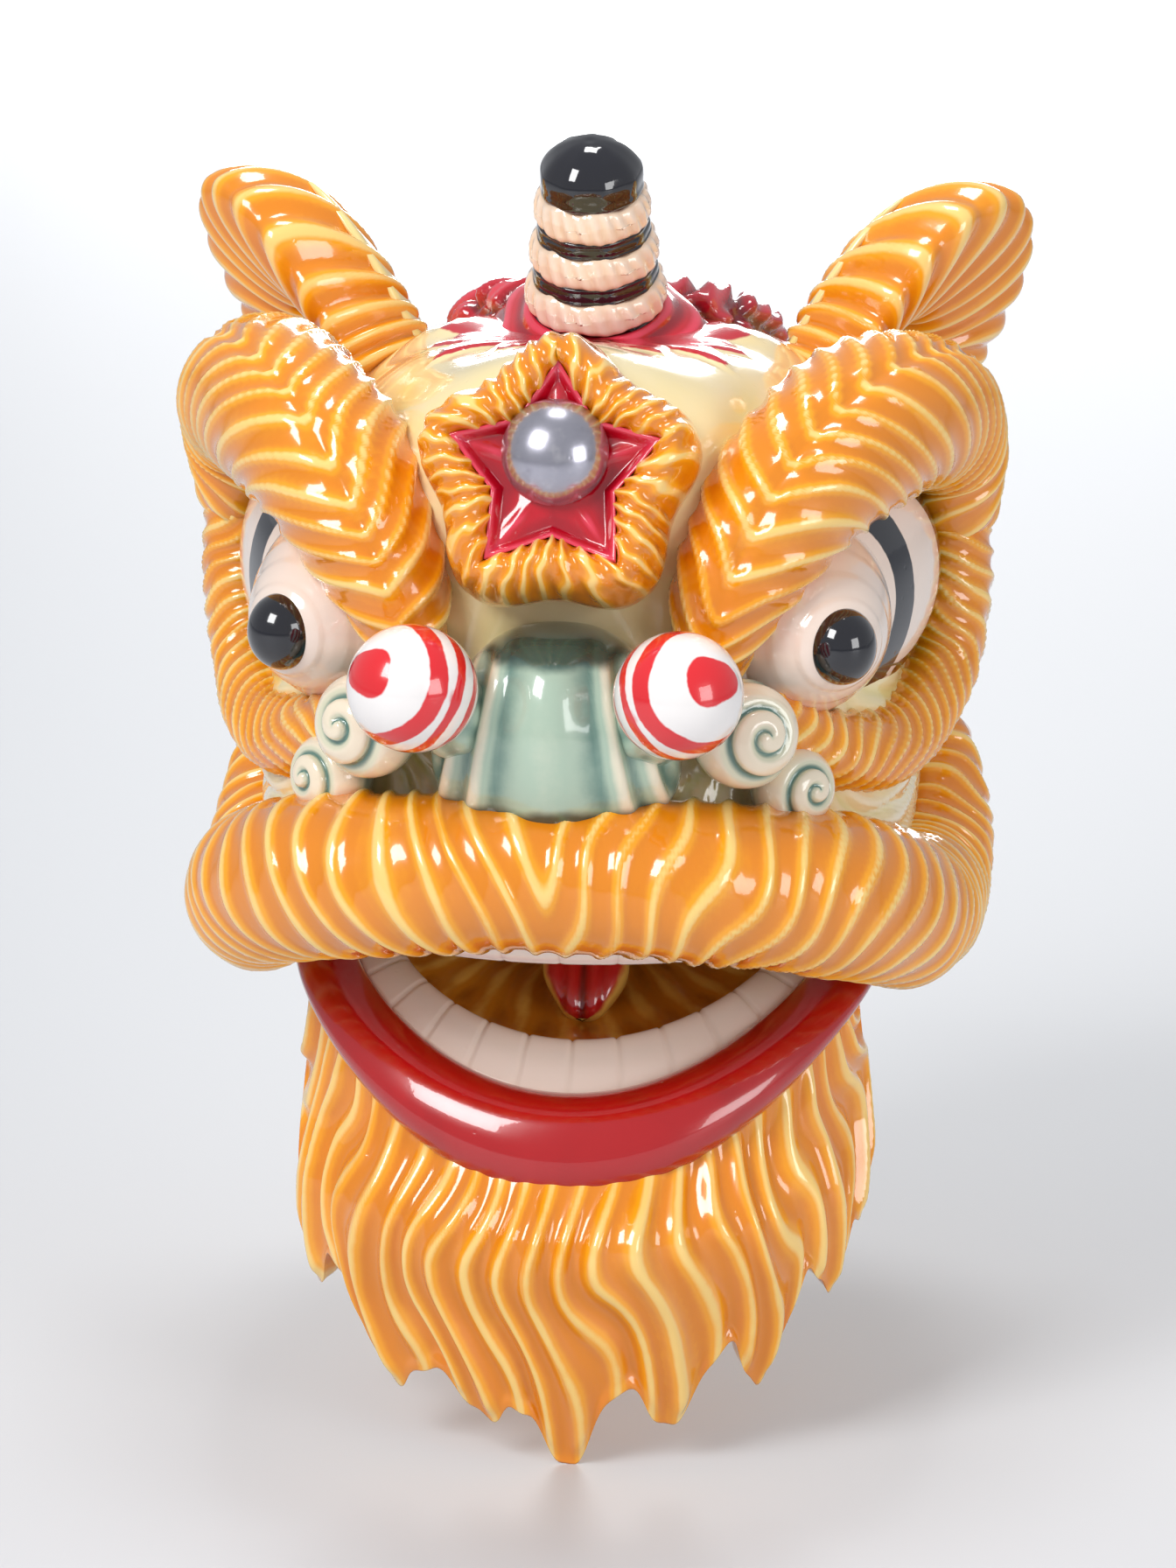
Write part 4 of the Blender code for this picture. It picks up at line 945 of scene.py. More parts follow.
@dataclass(frozen=True)
class HeadShell:
    """The hollow head with its brushed and raised ornament."""

    wall_share: float = 0.74
    hem_share: float = 0.78
    hem_sag: float = 0.006
    halo_reach: float = 20.5 * MM
    ridge: float = 0.9 * MM
    streak_pitch: float = 3.7 * MM
    streak_rise: float = 0.42 * MM
    flame_rise: float = 0.7 * MM
    valley_depth: float = 0.5 * MM
    # outline of the horn's red flames: degrees from the front, reach in millimetres
    flames: Rows = (
        (0, 15.0), (8, 22.5), (15, 17.5), (24, 26.0), (33, 19.5), (41, 28.5), (50, 20.0), (60, 23.5),
        (70, 18.0), (82, 20.0), (95, 17.0), (140, 17.0), (180, 17.0),
    )
    # leaves between disc and nape: foot and tip (side, level) and half width, in millimetres
    leaves: Rows = (
        (33.0, 35.0, 20.5, 39.0, 3.0), (34.0, 26.5, 19.0, 32.5, 3.0),
        (34.5, 18.5, 19.5, 24.0, 3.0), (35.0, 10.0, 23.0, 15.0, 3.0),
    )
    # the green channel beside the nape: inner, outer, lower and upper edge, in millimetres
    channel: tuple[float, ...] = (10.8, 17.2, 4.5, 36.0)
    # low mounds on the crown: centre, spread, height
    mounds: tuple = (
        (at(0.44, 0.16, 0.92), 4.5 * MM, 2.2 * MM),
        (at(0.42, -0.20, 0.98), 6.0 * MM, 1.2 * MM),
    )

    def build(self, lion: Lion) -> None:
        """Makes the shell."""
        lion.add(skin("head_shell_glazed", 240, 168, self.shape), SHELL, "head_shell")

    def shape(self, u: Array, w: Array) -> Form:
        """The outer wall, the rim and the inner wall as one closed sheet.

        Args:
            u: places round the head.
            w: places down the outside and up the inside.

        Returns:
            The shell.
        """
        turn = FULL_TURN * u
        outside = np.clip(w / self.wall_share, 0.0, 1.0)
        inside = np.clip((1.0 - w) / (1.0 - self.hem_share), 0.0, 1.0)
        share = np.where(w <= self.wall_share, outside, np.where(w >= self.hem_share, inside, 1.0))
        share = share**2 / (0.35 + share) * 1.35
        hem = np.clip((w - self.wall_share) / (self.hem_share - self.wall_share), 0.0, 1.0)
        drop = share * DOME.rim(turn) + self.hem_sag * np.sin(math.pi * hem) * (hem > 0) * (hem < 1)
        points = DOME.surface(turn, drop, -WALL * hem)
        out = 1.0 - ease(w, self.wall_share - 0.01, self.wall_share + 0.01)
        rise, marks = self.ornament(points)
        points = points + DOME.normals(turn, drop) * (rise * out)[:, None]
        for mark in ("green", "blaze", "cream"):
            marks[mark] = np.where(w > self.hem_share, UNBRUSHED, marks[mark])
        return Form(points, marks)

    def ornament(self, points: Array) -> tuple[Array, dict[str, Array]]:
        """What is raised and brushed on the outside.

        Args:
            points: points of the dome.

        Returns:
            How far each is raised, and its marks.
        """
        x, y, z = np.abs(points[:, 0]), points[:, 1], points[:, 2]
        left = columns(x, y, z)
        disc_away = np.linalg.norm(left - np.array(DISC_CENTRE), axis=1)
        halo = ease(disc_away, self.halo_reach + 2 * MM, self.halo_reach - 3 * MM)
        wall = hill(disc_away, self.halo_reach, 1.6 * MM)
        green = (self.halo_reach - 2.4 * MM - disc_away) / MM
        cream = 1.5 * wall - 1.0

        streak, reach = self.streaks(left, disc_away)
        rise = self.ridge * wall * 0.9 + streak * reach * self.streak_rise * (1 - halo)
        crest = 0.62 + 0.34 * streak * reach - 0.12 * reach

        leaf, edge = self.leaf(left)
        edge = edge * ease(disc_away, 15 * MM, 19 * MM)
        rear = ease(y, 0.25 * BACK_REACH, 0.5 * BACK_REACH)
        rise = rise + (edge * self.ridge - 0.35 * MM * ease(leaf, -0.5, 1.5)) * rear
        green = np.maximum(green, leaf * rear - 6 * (1 - rear))
        cream = np.maximum(cream, (1.6 * edge - 1.0) * rear)

        flame = self.flame(points)
        valley = self.valley(left)
        rise = rise + self.flame_rise * ease(flame, -0.7, 0.9) - self.valley_depth * valley
        for centre, spread, tall in self.mounds:
            rise = rise + tall * bump_at(left, centre, spread)
        crest = crest - 0.42 * valley - 0.25 * ease(z, -0.1 * RIM_DROP, -0.34 * RIM_DROP) * (y > 0)
        tone = 0.5 + 0.5 * wander(x / (9 * MM), z / (9 * MM), 1.0)
        inner, outer, low, high = self.channel
        channel = np.minimum(x / MM - inner, outer - x / MM)
        channel = np.minimum(channel, np.minimum(z / MM - low, high - z / MM))
        green = np.maximum(green, np.where(rear > 0.5, channel, UNBRUSHED))
        green = np.where(flame > -0.5, UNBRUSHED, green)
        return rise, {"crest": crest, "tone": tone, "green": green, "blaze": flame, "cream": cream}

    def streaks(self, left: Array, disc_away: Array) -> tuple[Array, Array]:
        """The combed folds of the cheek that run round the eye and fan towards the muzzle.

        Args:
            left: points taken to the left side.
            disc_away: their distances from the disc's middle.

        Returns:
            The folds' wave from -1 to 1, and how strongly they show.
        """
        y, z = left[:, 1], left[:, 2]
        away = np.hypot(y - EYE_CENTRE[1], z - EYE_CENTRE[2])
        turn = np.arctan2(EYE_CENTRE[2] - z, y - EYE_CENTRE[1])
        phase = away / self.streak_pitch + 1.1 * turn + ease(turn, 1.9, 2.7) * 5.0 * turn
        phase = phase + 0.35 * wander(y / (10 * MM), z / (10 * MM), 2.0)
        lower = ease(z, 0.30 * CROWN_RISE, 0.12 * CROWN_RISE) * ease(y, 0.75 * BACK_REACH, 0.55 * BACK_REACH)
        lower = lower * ease(disc_away, self.halo_reach, self.halo_reach + 5 * MM)
        upper = ease(y, 0.02 * BACK_REACH, 0.15 * BACK_REACH) * ease(y, 0.6 * BACK_REACH, 0.4 * BACK_REACH)
        upper = upper * ease(z, 0.75 * CROWN_RISE, 0.5 * CROWN_RISE) * 0.6
        upper = upper * ease(disc_away, self.halo_reach, self.halo_reach + 4 * MM)
        return np.cos(FULL_TURN * phase), np.maximum(lower, upper)

    def leaf(self, left: Array) -> tuple[Array, Array]:
        """The leaves beside the nape.

        Args:
            left: points taken to the left side.

        Returns:
            How deep in a leaf each point is, in millimetres, and how near a leaf's raised edge.
        """
        deepest = np.full(len(left), UNBRUSHED)
        for foot_x, foot_z, tip_x, tip_z, half in self.leaves:
            line = np.array((tip_x - foot_x, tip_z - foot_z))
            length = np.linalg.norm(line)
            place = left[:, (0, 2)] / MM - (foot_x, foot_z)
            along = place @ line / length**2
            bow = 1.6 * np.sin(math.pi * np.clip(along, 0, 1))
            across = (place[:, 0] * line[1] - place[:, 1] * line[0]) / length - bow
            width = half * np.sqrt(np.clip(1.0 - np.clip(along, 0.0, 1.2), 0.0, 1.0)) + 0.01
            inside = width - np.abs(across)
            inside = np.where(along > 1.0, -np.hypot(across, (along - 1.0) * length), inside)
            deepest = np.maximum(deepest, np.where(along < -0.2, UNBRUSHED, inside))
        return deepest - 0.4, hill(deepest, -0.6, 0.7) * 1.3

    def flame(self, points: Array) -> Array:
        """The red flames round the horn.

        Args:
            points: points of the dome.

        Returns:
            How deep in a flame each is, in millimetres.
        """
        x, y = points[:, 0], points[:, 1] - HORN_FOOT[1]
        reach = np.interp(np.degrees(np.abs(np.arctan2(x, -y))), *np.array(self.flames, float).T)
        inside = np.where(points[:, 2] > 0.5 * CROWN_RISE, reach - np.hypot(x, y) / MM, UNBRUSHED)
        return inside * 0.7

    @staticmethod
    def valley(left: Array) -> Array:
        """The valleys that run down the forehead between star and brow, from 0 to 1.

        Args:
            left: points taken to the left side.

        Returns:
            How deep in a valley each point is.
        """
        line = 0.52 * HALF_WIDTH + 0.10 * (left[:, 2] - 0.8 * CROWN_RISE)
        front = ease(left[:, 1], -0.2 * FRONT_REACH, -0.5 * FRONT_REACH)
        high = ease(left[:, 2], 0.2 * CROWN_RISE, 0.5 * CROWN_RISE)
        return hill(left[:, 0] - line, 0.0, 3.2 * MM) * front * high


# Fur rolls


@dataclass(frozen=True)
class Strands:
    """How the combed strands of a roll lie."""

    pitch: float = 3.0 * MM
    rise: float = 0.55 * MM
    slant: float = 0.5
    sway: float = 0.25
    sharp: float = 1.6
    spine: Optional[float] = None
    split: bool = False
    split_round: float = 1.2 * MM

    def lay(
        self, along: Array, angle: Array, radius: Array, middle: float, seed: float
    ) -> tuple[Array, Array]:
        """The strands' height from 0 to 1, and each strand's own tone.

        Args:
            along: the distance along the roll.
            angle: the turn round the roll, 0 at its outermost line.
            radius: the roll's radius.
            middle: the distance at which a split roll's strands part.
            seed: sets one roll's wander apart from another's.

        Returns:
            The height and the tone.
        """
        place = np.sqrt((along - middle) ** 2 + self.split_round**2) if self.split else along
        lean = angle if self.spine is None else -np.abs(angle - self.spine)
        phase = (place + self.slant * radius * lean) / self.pitch
        phase = phase + self.sway * wander(along / (13 * MM), angle * 0.7, seed)
        return ripple(phase) ** self.sharp, chance(np.round(phase), seed)


@dataclass(frozen=True)
class Roll:
    """A round fur roll along a smooth path on the head."""

    name: str
    path: Rows
    radius: float
    strands: Strands
    both_sides: bool = False
    hub: Point = at(0.0, 0.1, 0.2)
    finish: Glaze = FUR
    faces_round: int = 44
    faces_along: int = 240
    swell: float = 0.03
    cap: float = 0.045
    end_bulge: float = 0.8
    parting: float = 0.9 * MM

    def build(self, lion: Lion, side: Side = Side.LEFT) -> None:
        """Makes the roll, or one of a pair.

        Args:
            lion: takes the piece.
            side: the side of one of a pair.
        """
        node = self.name if self.both_sides else f"{self.name}_{side.word}"
        seed = 1.0 if side is Side.LEFT else 5.0
        sizes = (self.faces_round, self.faces_along)
        lion.add(skin(node + "_fur", *sizes, lambda u, w: self.shape(u, w, seed), side), self.finish, node)

    def course(self) -> Course:
        """The path closely spaced, led across the middle plane where the roll has both sides.

        Returns:
            The path.
        """
        rows = [(*at(*row[:3]), row[3] * self.radius) for row in self.path]
        if self.both_sides:
            rows = mirrored(rows if abs(rows[0][0]) < abs(rows[-1][0]) else rows[::-1])
        found = fine_rows(rows)
        steps = np.linalg.norm(np.diff(found[:, :3], axis=0), axis=1)
        return Course(np.concatenate(([0.0], np.cumsum(steps))), found[:, :3], found[:, 3])

    def shape(self, u: Array, w: Array, seed: float) -> Form:
        """The roll's skin with domed ends.

        Args:
            u: places round it.
            w: places along it.
            seed: sets its wander apart.

        Returns:
            The roll.
        """
        course = self.course()
        length = course.far[-1]
        share, beyond, domed, _ = ends(w, self.cap)
        beyond = beyond * self.end_bulge
        along = share * length
        hub = np.array(self.hub)
        spot, outward, sideways, radius = course.sweep(along, beyond, lambda spots: spots - hub)
        angle = FULL_TURN * (u - 0.5)
        travelled = along + beyond * radius
        height, tone = self.strands.lay(travelled, angle, radius, length / 2, seed)
        full = radius * (1 + self.swell * wander(travelled / (9 * MM), angle, seed + 9)) * domed
        full = full + (height - 0.55) * self.strands.rise * np.minimum(domed * 1.6, 1.0)
        full = np.where(domed < 1e-6, 0.0, full - self.groove(angle, travelled, length))
        ring = np.cos(angle)[:, None] * outward + np.sin(angle)[:, None] * sideways
        return dressed(spot + ring * full[:, None], height, tone)

    def groove(self, angle: Array, along: Array, length: float) -> Array:
        """The long parting that some rolls have.

        Args:
            angle: turns round the roll.
            along: distances along it.
            length: its whole length.

        Returns:
            The parting's depth.
        """
        if self.strands.spine is None:
            return np.zeros_like(angle)
        here = ease(along, 0.06 * length, 0.2 * length) * ease(along, 0.86 * length, 0.7 * length)
        return self.parting * hill(angle, self.strands.spine, 0.10) * here


# every path's row: side, front or back, up or down, radius
UPPER_LIP = Roll(
    "upper_lip",
    (
        (0.00, -1.100, -0.23, 0.95), (0.25, -1.090, -0.24, 0.97), (0.52, -1.020, -0.28, 1.00),
        (0.78, -0.860, -0.37, 1.00), (0.93, -0.600, -0.52, 0.97), (0.99, -0.300, -0.67, 0.93),
        (1.02, 0.060, -0.73, 0.86), (1.05, 0.260, -0.62, 0.74), (1.06, 0.400, -0.42, 0.58),
        (1.06, 0.480, -0.26, 0.40),
    ),
    10.4 * MM,
    Strands(pitch=4.1 * MM, rise=0.6 * MM, slant=0.24, sway=0.45, sharp=3.0, split=True),
    both_sides=True, faces_round=64, faces_along=560,
)
BROW = Roll(
    "brow",
    (
        (0.44, -0.90, 0.36, 0.42), (0.51, -0.87, 0.56, 0.74), (0.68, -0.73, 0.79, 0.98),
        (0.88, -0.46, 0.90, 1.04), (1.02, -0.14, 0.87, 0.94), (1.09, 0.06, 0.74, 0.74),
        (1.10, 0.12, 0.58, 0.60),
    ),
    10.4 * MM,
    Strands(pitch=3.9 * MM, rise=0.6 * MM, slant=0.66, sway=0.35, sharp=3.0, spine=-0.35),
    faces_round=64, faces_along=320,
)
LID = Roll(
    "lid",
    (
        (1.10, 0.12, 0.56, 0.90), (1.10, 0.11, 0.36, 1.00), (1.06, 0.02, 0.16, 1.00),
        (0.95, -0.32, 0.05, 1.00), (0.78, -0.64, 0.09, 0.96), (0.62, -0.84, 0.20, 0.80),
    ),
    5.4 * MM,
    Strands(pitch=3.2 * MM, rise=0.5 * MM, slant=0.6, sway=0.4, sharp=2.6),
)
RIM_BAND = Roll(
    "rim_band",
    (
        (0.99, 0.14, -0.92, 0.80), (1.02, 0.36, -0.76, 1.00), (1.00, 0.62, -0.55, 1.00),
        (0.88, 0.86, -0.38, 1.00), (0.52, 1.00, -0.27, 1.00), (0.00, 1.01, -0.24, 1.00),
    ),
    3.7 * MM,
    Strands(pitch=9.0 * MM, rise=0.12 * MM, slant=0.2, sway=0.8, sharp=1.0),
    both_sides=True, finish=FUR_RIM, faces_round=30, faces_along=260,
)


@dataclass(frozen=True)
class Garland:
    """The red cord knotted into curls behind the horn."""

    cord: Roll = Roll(
        "garland",
        (
            (0.37, 0.86, 0.68, 0.90), (0.40, 0.78, 0.79, 1.00), (0.42, 0.64, 0.89, 0.95),
            (0.28, 0.46, 0.97, 1.00), (0.00, 0.37, 0.99, 1.00),
        ),
        4.6 * MM, Strands(), both_sides=True,
    )
    loops: float = 26.0

    def build(self, lion: Lion) -> None:
        """Makes the garland."""
        lion.add(skin("garland_knotted", 44, 380, self.shape), GARLAND, "garland")

    def shape(self, u: Array, w: Array) -> Form:
        """A roll whose skin is worked into loops.

        Args:
            u: places round the cord.
            w: places along it.

        Returns:
            The garland.
        """
        base = self.cord.shape(u, w, 2.0)
        angle, far = FULL_TURN * u, w * self.loops
        loops = np.abs(np.sin(far + 1.4 * np.sin(angle * 2 + far * 0.7)))
        twist = np.abs(np.sin(angle * 1.5 + far * 0.9 + 1.2 * np.sin(far * 2.1)))
        crest = ease(np.minimum(loops, twist), 0.05, 0.75)
        course = self.cord.course()
        centre = course.spots(course.line, ends(w, self.cord.cap)[0] * course.far[-1])
        points = centre + (base.points - centre) * (0.78 + 0.34 * crest)[:, None]
        # the crests carry the pink painted highlight on the loops' tops
        return dressed(points, crest * 0.95, base.marks["tone"])


# Eyes


@dataclass(frozen=True)
class Eye:
    """An almond eye white with a terraced cone, a pupil knob and brushed black crescents."""

    length: float = 47.0 * MM
    height: float = 33.0 * MM
    bulge: float = 9.0 * MM
    axis: Point = (0.845, -0.534, 0.06)
    cone_centre: Point = at(0.66, -0.58, 0.42)
    cone_axis: Point = (0.52, -0.85, -0.03)
    cone_radius: float = 13.4 * MM
    cone_reach: float = 15.0 * MM
    terrace: float = 0.32 * MM
    terraces: tuple[float, ...] = (0.46, 0.64, 0.82)
    pupil_radius: float = 4.7 * MM
    pupil_sink: float = 0.22
    pupil_shares: tuple[float, ...] = (0.94, 1.05, 0.95)
    # share of the radius, share of the reach
    cone_profile: Rows = (
        (0.00, 1.00), (0.14, 0.995), (0.28, 0.965), (0.40, 0.905), (0.52, 0.81), (0.66, 0.66), (0.80, 0.48),
        (0.91, 0.30), (0.98, 0.12), (1.00, -0.08), (0.88, -0.34), (0.50, -0.52), (0.00, -0.56),
    )

    def cone_frame(self, rise: float = 0.0) -> Matrix:
        """Z along the cone, X to the outer corner and Y up."""
        return frame_on(self.cone_centre, self.cone_axis) @ Matrix.Translation((0, 0, rise))

    def build(self, lion: Lion, side: Side) -> None:
        """Makes the white, the cone and the pupil of one side.

        Args:
            lion: takes the pieces.
            side: the eye's side.
        """
        radii = (self.length / 2, self.height / 2, self.bulge)
        white = ball(f"eye_white_{side.word}", radii, frame_on(EYE_CENTRE, self.axis), self.corner, side)
        lion.add(white, EYE_WHITE, "eye_" + side.word)
        profile = scaled(self.cone_profile, self.cone_radius, self.cone_reach)
        lion.add(turned(f"eye_cone_{side.word}", profile, 96, self.cone, side), EYE_WHITE, "eye_" + side.word)
        knob = [share * self.pupil_radius for share in self.pupil_shares]
        place = self.cone_frame(self.cone_reach - self.pupil_sink * self.pupil_radius)
        lion.add(ball(f"pupil_knob_{side.word}", knob, place, self.even, side), BLACK, "pupil_" + side.word)

    @staticmethod
    def corner(own: Array) -> dict[str, Array]:
        """Marks the white: black in the outer corner, its inner edge curved like the cone's foot.

        Args:
            own: points in the white's own space.

        Returns:
            The marks.
        """
        x, y = own[:, 0] / MM, own[:, 1] / MM
        away, degrees = np.hypot(x + 8.3, y + 1.5), np.degrees(np.arctan2(y + 1.5, x + 8.3))
        span = ease(degrees, -100.0, -40.0) * ease(degrees, 130.0, 80.0)
        crescent = 2.4 * span - np.abs(away - 15.2) - 0.6 * (1 - span)
        black = np.maximum(crescent, np.minimum(np.hypot(x - 7.2, y - 0.5) - 11.4, x - 7.5))
        ring = np.hypot(x + 7.0, y + 1.0)
        return {"crest": 0.66 - 0.25 * ease(ring, 18.0, 13.5), "tone": 0.5, "black": black}

    def cone(self, radius: Array, turn: Array, height: Array) -> Form:
        """The cone in terraces, with the first crescent round the outer side of its foot.

        Args:
            radius: distances from the cone's axis.
            turn: turns round it from the outer side.
            height: distances along it.

        Returns:
            The cone.
        """
        share, front = radius / self.cone_radius, height > 0.0
        steps = sum(ease(share, edge, edge - 0.035) for edge in self.terraces) * front
        points = around(self.cone_frame(), radius, turn, height + self.terrace * (steps - 1.5) * front)
        degrees = np.degrees(turn)
        span = ease(degrees, -95.0, -35.0) * ease(degrees, 135.0, 80.0)
        black = 1.6 * span - np.abs(height / MM) - 0.6 * (1 - span)
        edges = sum(hill(share, edge, 0.02) for edge in self.terraces)
        return dressed(points, 0.66 - 0.22 * edges * front, black=black)

    @staticmethod
    def even(_own: Array) -> dict[str, Array]:
        """Marks an even glaze."""
        return {"crest": 0.35, "tone": 0.5}


# Ears


@dataclass(frozen=True)
class Ear:
    """A leaf-shaped ear: a smooth pan in a thick fan of fur."""

    cup: Point = at(0.68, 0.53, 0.84)
    up: Point = (0.49, -0.06, 0.87)
    face: Point = (0.76, -0.45, -0.46)
    reach: float = 35.0 * MM
    cup_width: float = 13.6 * MM
    cup_height: float = 22.0 * MM
    pan_thickness: float = 3.6 * MM
    pan_share: float = 0.84
    vein_depth: float = 0.3 * MM
    trim_thickness: float = 10.4 * MM
    trim_relief: float = 1.1 * MM
    curl: float = 4.0 * MM
    wrap: float = 3.0 * MM
    trim_start: float = -0.17
    trim_end: float = 0.60
    lobes: float = 24.0
    # turn from the rear edge over the top, reach
    outline: Rows = (
        (-0.347, 0.40), (-0.250, 0.38), (-0.170, 0.43), (-0.106, 0.50), (0.010, 0.56), (0.100, 0.68),
        (0.170, 0.84), (0.220, 0.93), (0.265, 0.94), (0.310, 0.84), (0.360, 0.64), (0.420, 0.47),
        (0.528, 0.38), (0.653, 0.40),
    )

    def place(self, turn: Array, reach: Array, height: Array) -> Array:
        """Points at a turn round the cup, a reach from its middle and a height out of it."""
        return around(frame_on(self.cup, self.face, self.up), reach, FULL_TURN * turn, height)

    def outer(self, turn: Array) -> Array:
        """The reach of the ear's edge."""
        return self.reach * smooth_rows(self.outline, turn)[:, 0]

    def inner(self, turn: Array) -> Array:
        """The reach of the cup's oval edge."""
        angle = FULL_TURN * turn
        return 1.0 / np.hypot(np.cos(angle) / (self.cup_width / 2), np.sin(angle) / (self.cup_height / 2))

    def build(self, lion: Lion, side: Side) -> None:
        """Makes the pan and the fan of one side.

        Args:
            lion: takes the pieces.
            side: the ear's side.
        """
        seed = 2.0 + side.value
        lion.add(skin(f"ear_{side.word}_pan", 90, 60, self.pan, side), EAR, "ear_" + side.word)
        trim = skin(f"ear_{side.word}_fan", 60, 300, lambda u, w: self.fan(u, w, seed), side)
        lion.add(trim, FUR, "ear_trim_" + side.word)

    def pan(self, u: Array, w: Array) -> Form:
        """The pan, dished in front and lightly veined behind.

        Args:
            u: places round it.
            w: places from the middle of its back over the edge to the middle of its front.

        Returns:
            The pan.
        """
        turn = self.outline[0][0] + u
        behind, full = w < 0.5, self.pan_share
        share = np.where(behind, np.clip(w / 0.5, 0, 1), np.clip((1 - w) / 0.5, 0, 1)) * full
        height = np.where(behind, -1.15 + 0.9 * (share / full) ** 3, -0.12 + 0.1 * share)
        height = np.where(np.isclose(share, full), -0.1, height) * self.pan_thickness
        reach = share * self.outer(turn)
        up, over = reach * np.sin(FULL_TURN * turn), reach * np.cos(FULL_TURN * turn)
        vein = np.abs(np.sin(up / (2.4 * MM) + 3 * np.abs(over / (12 * MM)) + 0.8 * np.sin(over / (2 * MM))))
        carve = ease(vein, 0.20, 0.05) * behind * ease(share, 0.06, 0.2) * ease(share, 0.62, 0.45)
        hollow = np.where(behind, 0.0, ease(share, 0.34, 0.05))
        points = self.place(turn, reach, height + self.vein_depth * carve)
        return dressed(points, 0.68 - 0.35 * carve - 0.42 * hollow)

    def fan(self, u: Array, w: Array, seed: float) -> Form:
        """The fur fan.

        Args:
            u: places round its section.
            w: places round the ear.
            seed: sets its wander apart.

        Returns:
            The fan.
        """
        t, beyond, domed, _ = ends(w, 0.03)
        turn = self.trim_start + (self.trim_end - self.trim_start) * t + 0.02 * beyond
        inner, outer = self.inner(turn), self.outer(turn)
        middle, half = (inner + outer) / 2, (outer - inner) / 2
        out, up = np.cos(FULL_TURN * u), np.sin(FULL_TURN * u)
        phase = self.lobes * t + 0.5 * out + 0.2 * up + 0.25 * wander(t * 8, out * 0.5, seed)
        wave = ripple(phase)
        thick = self.trim_thickness * (0.62 + 0.38 * np.sin(math.pi * t)) / 2
        relief = (wave**0.8 - 0.6) * self.trim_relief * domed
        behind = np.where(up < 0, 1.0 + self.wrap / thick, 1.0)
        reach = middle + (half * domed + relief) * out
        curl = self.curl * (0.5 + 0.5 * out) ** 2
        height = thick * (0.9 + behind * up * domed) + relief * up + curl
        return dressed(self.place(turn, reach, height), wave**2.6, chance(np.round(phase), seed))


# Cheek discs


@dataclass(frozen=True)
class CheekDisc:
    """A low boss with red rings and a flower in its middle."""

    radius: float = DISC_RADIUS
    rise: float = 3.2 * MM
    groove: float = 0.3 * MM
    ring_middle: float = 10.6
    ring_half: float = 1.25
    grooves: tuple[float, ...] = (9.2, 12.0)
    flower_radius: float = 6.3 * MM
    flower_rise: float = 2.2 * MM
    flower_top: float = 0.75
    petals: int = 8
    # share of the radius, share of the rise
    profile: Rows = (
        (0.00, -2.80), (0.97, -2.80), (1.00, -1.00), (1.00, 0.10), (0.965, 0.72), (0.90, 1.02),
        (0.82, 1.06), (0.72, 1.02), (0.60, 1.06), (0.50, 0.92), (0.00, 0.80),
    )

    def build(self, lion: Lion, side: Side) -> None:
        """Makes the disc and the flower of one side.

        Args:
            lion: takes the pieces.
            side: the disc's side.
        """
        profile = scaled(self.profile, self.radius, self.rise)
        boss = turned(f"cheek_disc_boss_{side.word}", profile, 96, self.boss, side)
        lion.add(boss, DISC, "cheek_disc_" + side.word)
        flower = skin(f"disc_flower_petals_{side.word}", 88, 40, self.flower, side)
        lion.add(flower, FLOWER, "disc_flower_" + side.word)

    def boss(self, radius: Array, turn: Array, height: Array) -> Form:
        """The boss with its painted ring and the two grooves beside it.

        Args:
            radius: distances from the disc's axis.
            turn: turns round it.
            height: heights above its foot.

        Returns:
            The boss.
        """
        away, top = radius / MM, height > 0.2 * self.rise
        red = np.where(top, self.ring_half - np.abs(away - self.ring_middle), UNBRUSHED)
        groove = sum(hill(away, place, 0.3) for place in self.grooves)
        crest = 0.66 - 0.3 * groove * top - 0.5 * (height < 0)
        points = around(frame_on(DISC_CENTRE, DISC_AXIS), radius, turn, height - self.groove * groove * top)
        return dressed(points, crest, red=red)

    def flower(self, u: Array, w: Array) -> Form:
        """Petals parted by grooves round a small eye.

        Args:
            u: places round the flower.
            w: places from its middle over the edge and back underneath.

        Returns:
            The flower.
        """
        turn, over = FULL_TURN * u, w < self.flower_top
        part = np.abs(np.sin(turn * self.petals / 2))
        edge = self.flower_radius * (0.90 + 0.10 * part**0.7)
        inward = 1 - (w - self.flower_top) / (1 - self.flower_top)
        away = np.where(over, np.clip(w / self.flower_top, 0, 1) * edge, edge * inward)
        inner = np.clip(away / edge, 0, 1)
        dome = self.flower_rise * (1 - 0.45 * inner**4)
        petal = ease(part, 0.0, 0.55) * ease(inner, 0.22, 0.36)
        eye = ease(inner, 0.22, 0.12)
        top = self.rise * 0.9 + dome * (0.45 + 0.45 * np.maximum(petal, eye))
        top = top * ease(inner, 1.02, 0.86) + self.rise * 0.85 * ease(inner, 0.86, 1.02)
        points = around(frame_on(DISC_CENTRE, DISC_AXIS), away, turn, np.where(over, top, self.rise * 0.75))
        return dressed(points, np.maximum(petal * 0.8, eye * 0.9))


# Horn

# profiles of the horn's rings, bands and cap: share of the radius, share of the height
ROPE_PROFILE = (
    (0.00, -0.05), (0.70, -0.05), (0.86, -0.02), (0.97, 0.16), (1.00, 0.42), (1.00, 0.62), (0.96, 0.88),
    (0.84, 1.02), (0.70, 1.05), (0.00, 1.05),
)
BAND_PROFILE = ((0.00, -0.25), (0.84, -0.25), (0.92, 0.20), (0.92, 0.80), (0.84, 1.25), (0.00, 1.25))
CAP_PROFILE = (
    (0.00, -0.10), (0.84, -0.06), (0.95, 0.18), (0.96, 0.50), (0.76, 0.80), (0.46, 0.98), (0.20, 1.05),
    (0.00, 1.05),
)


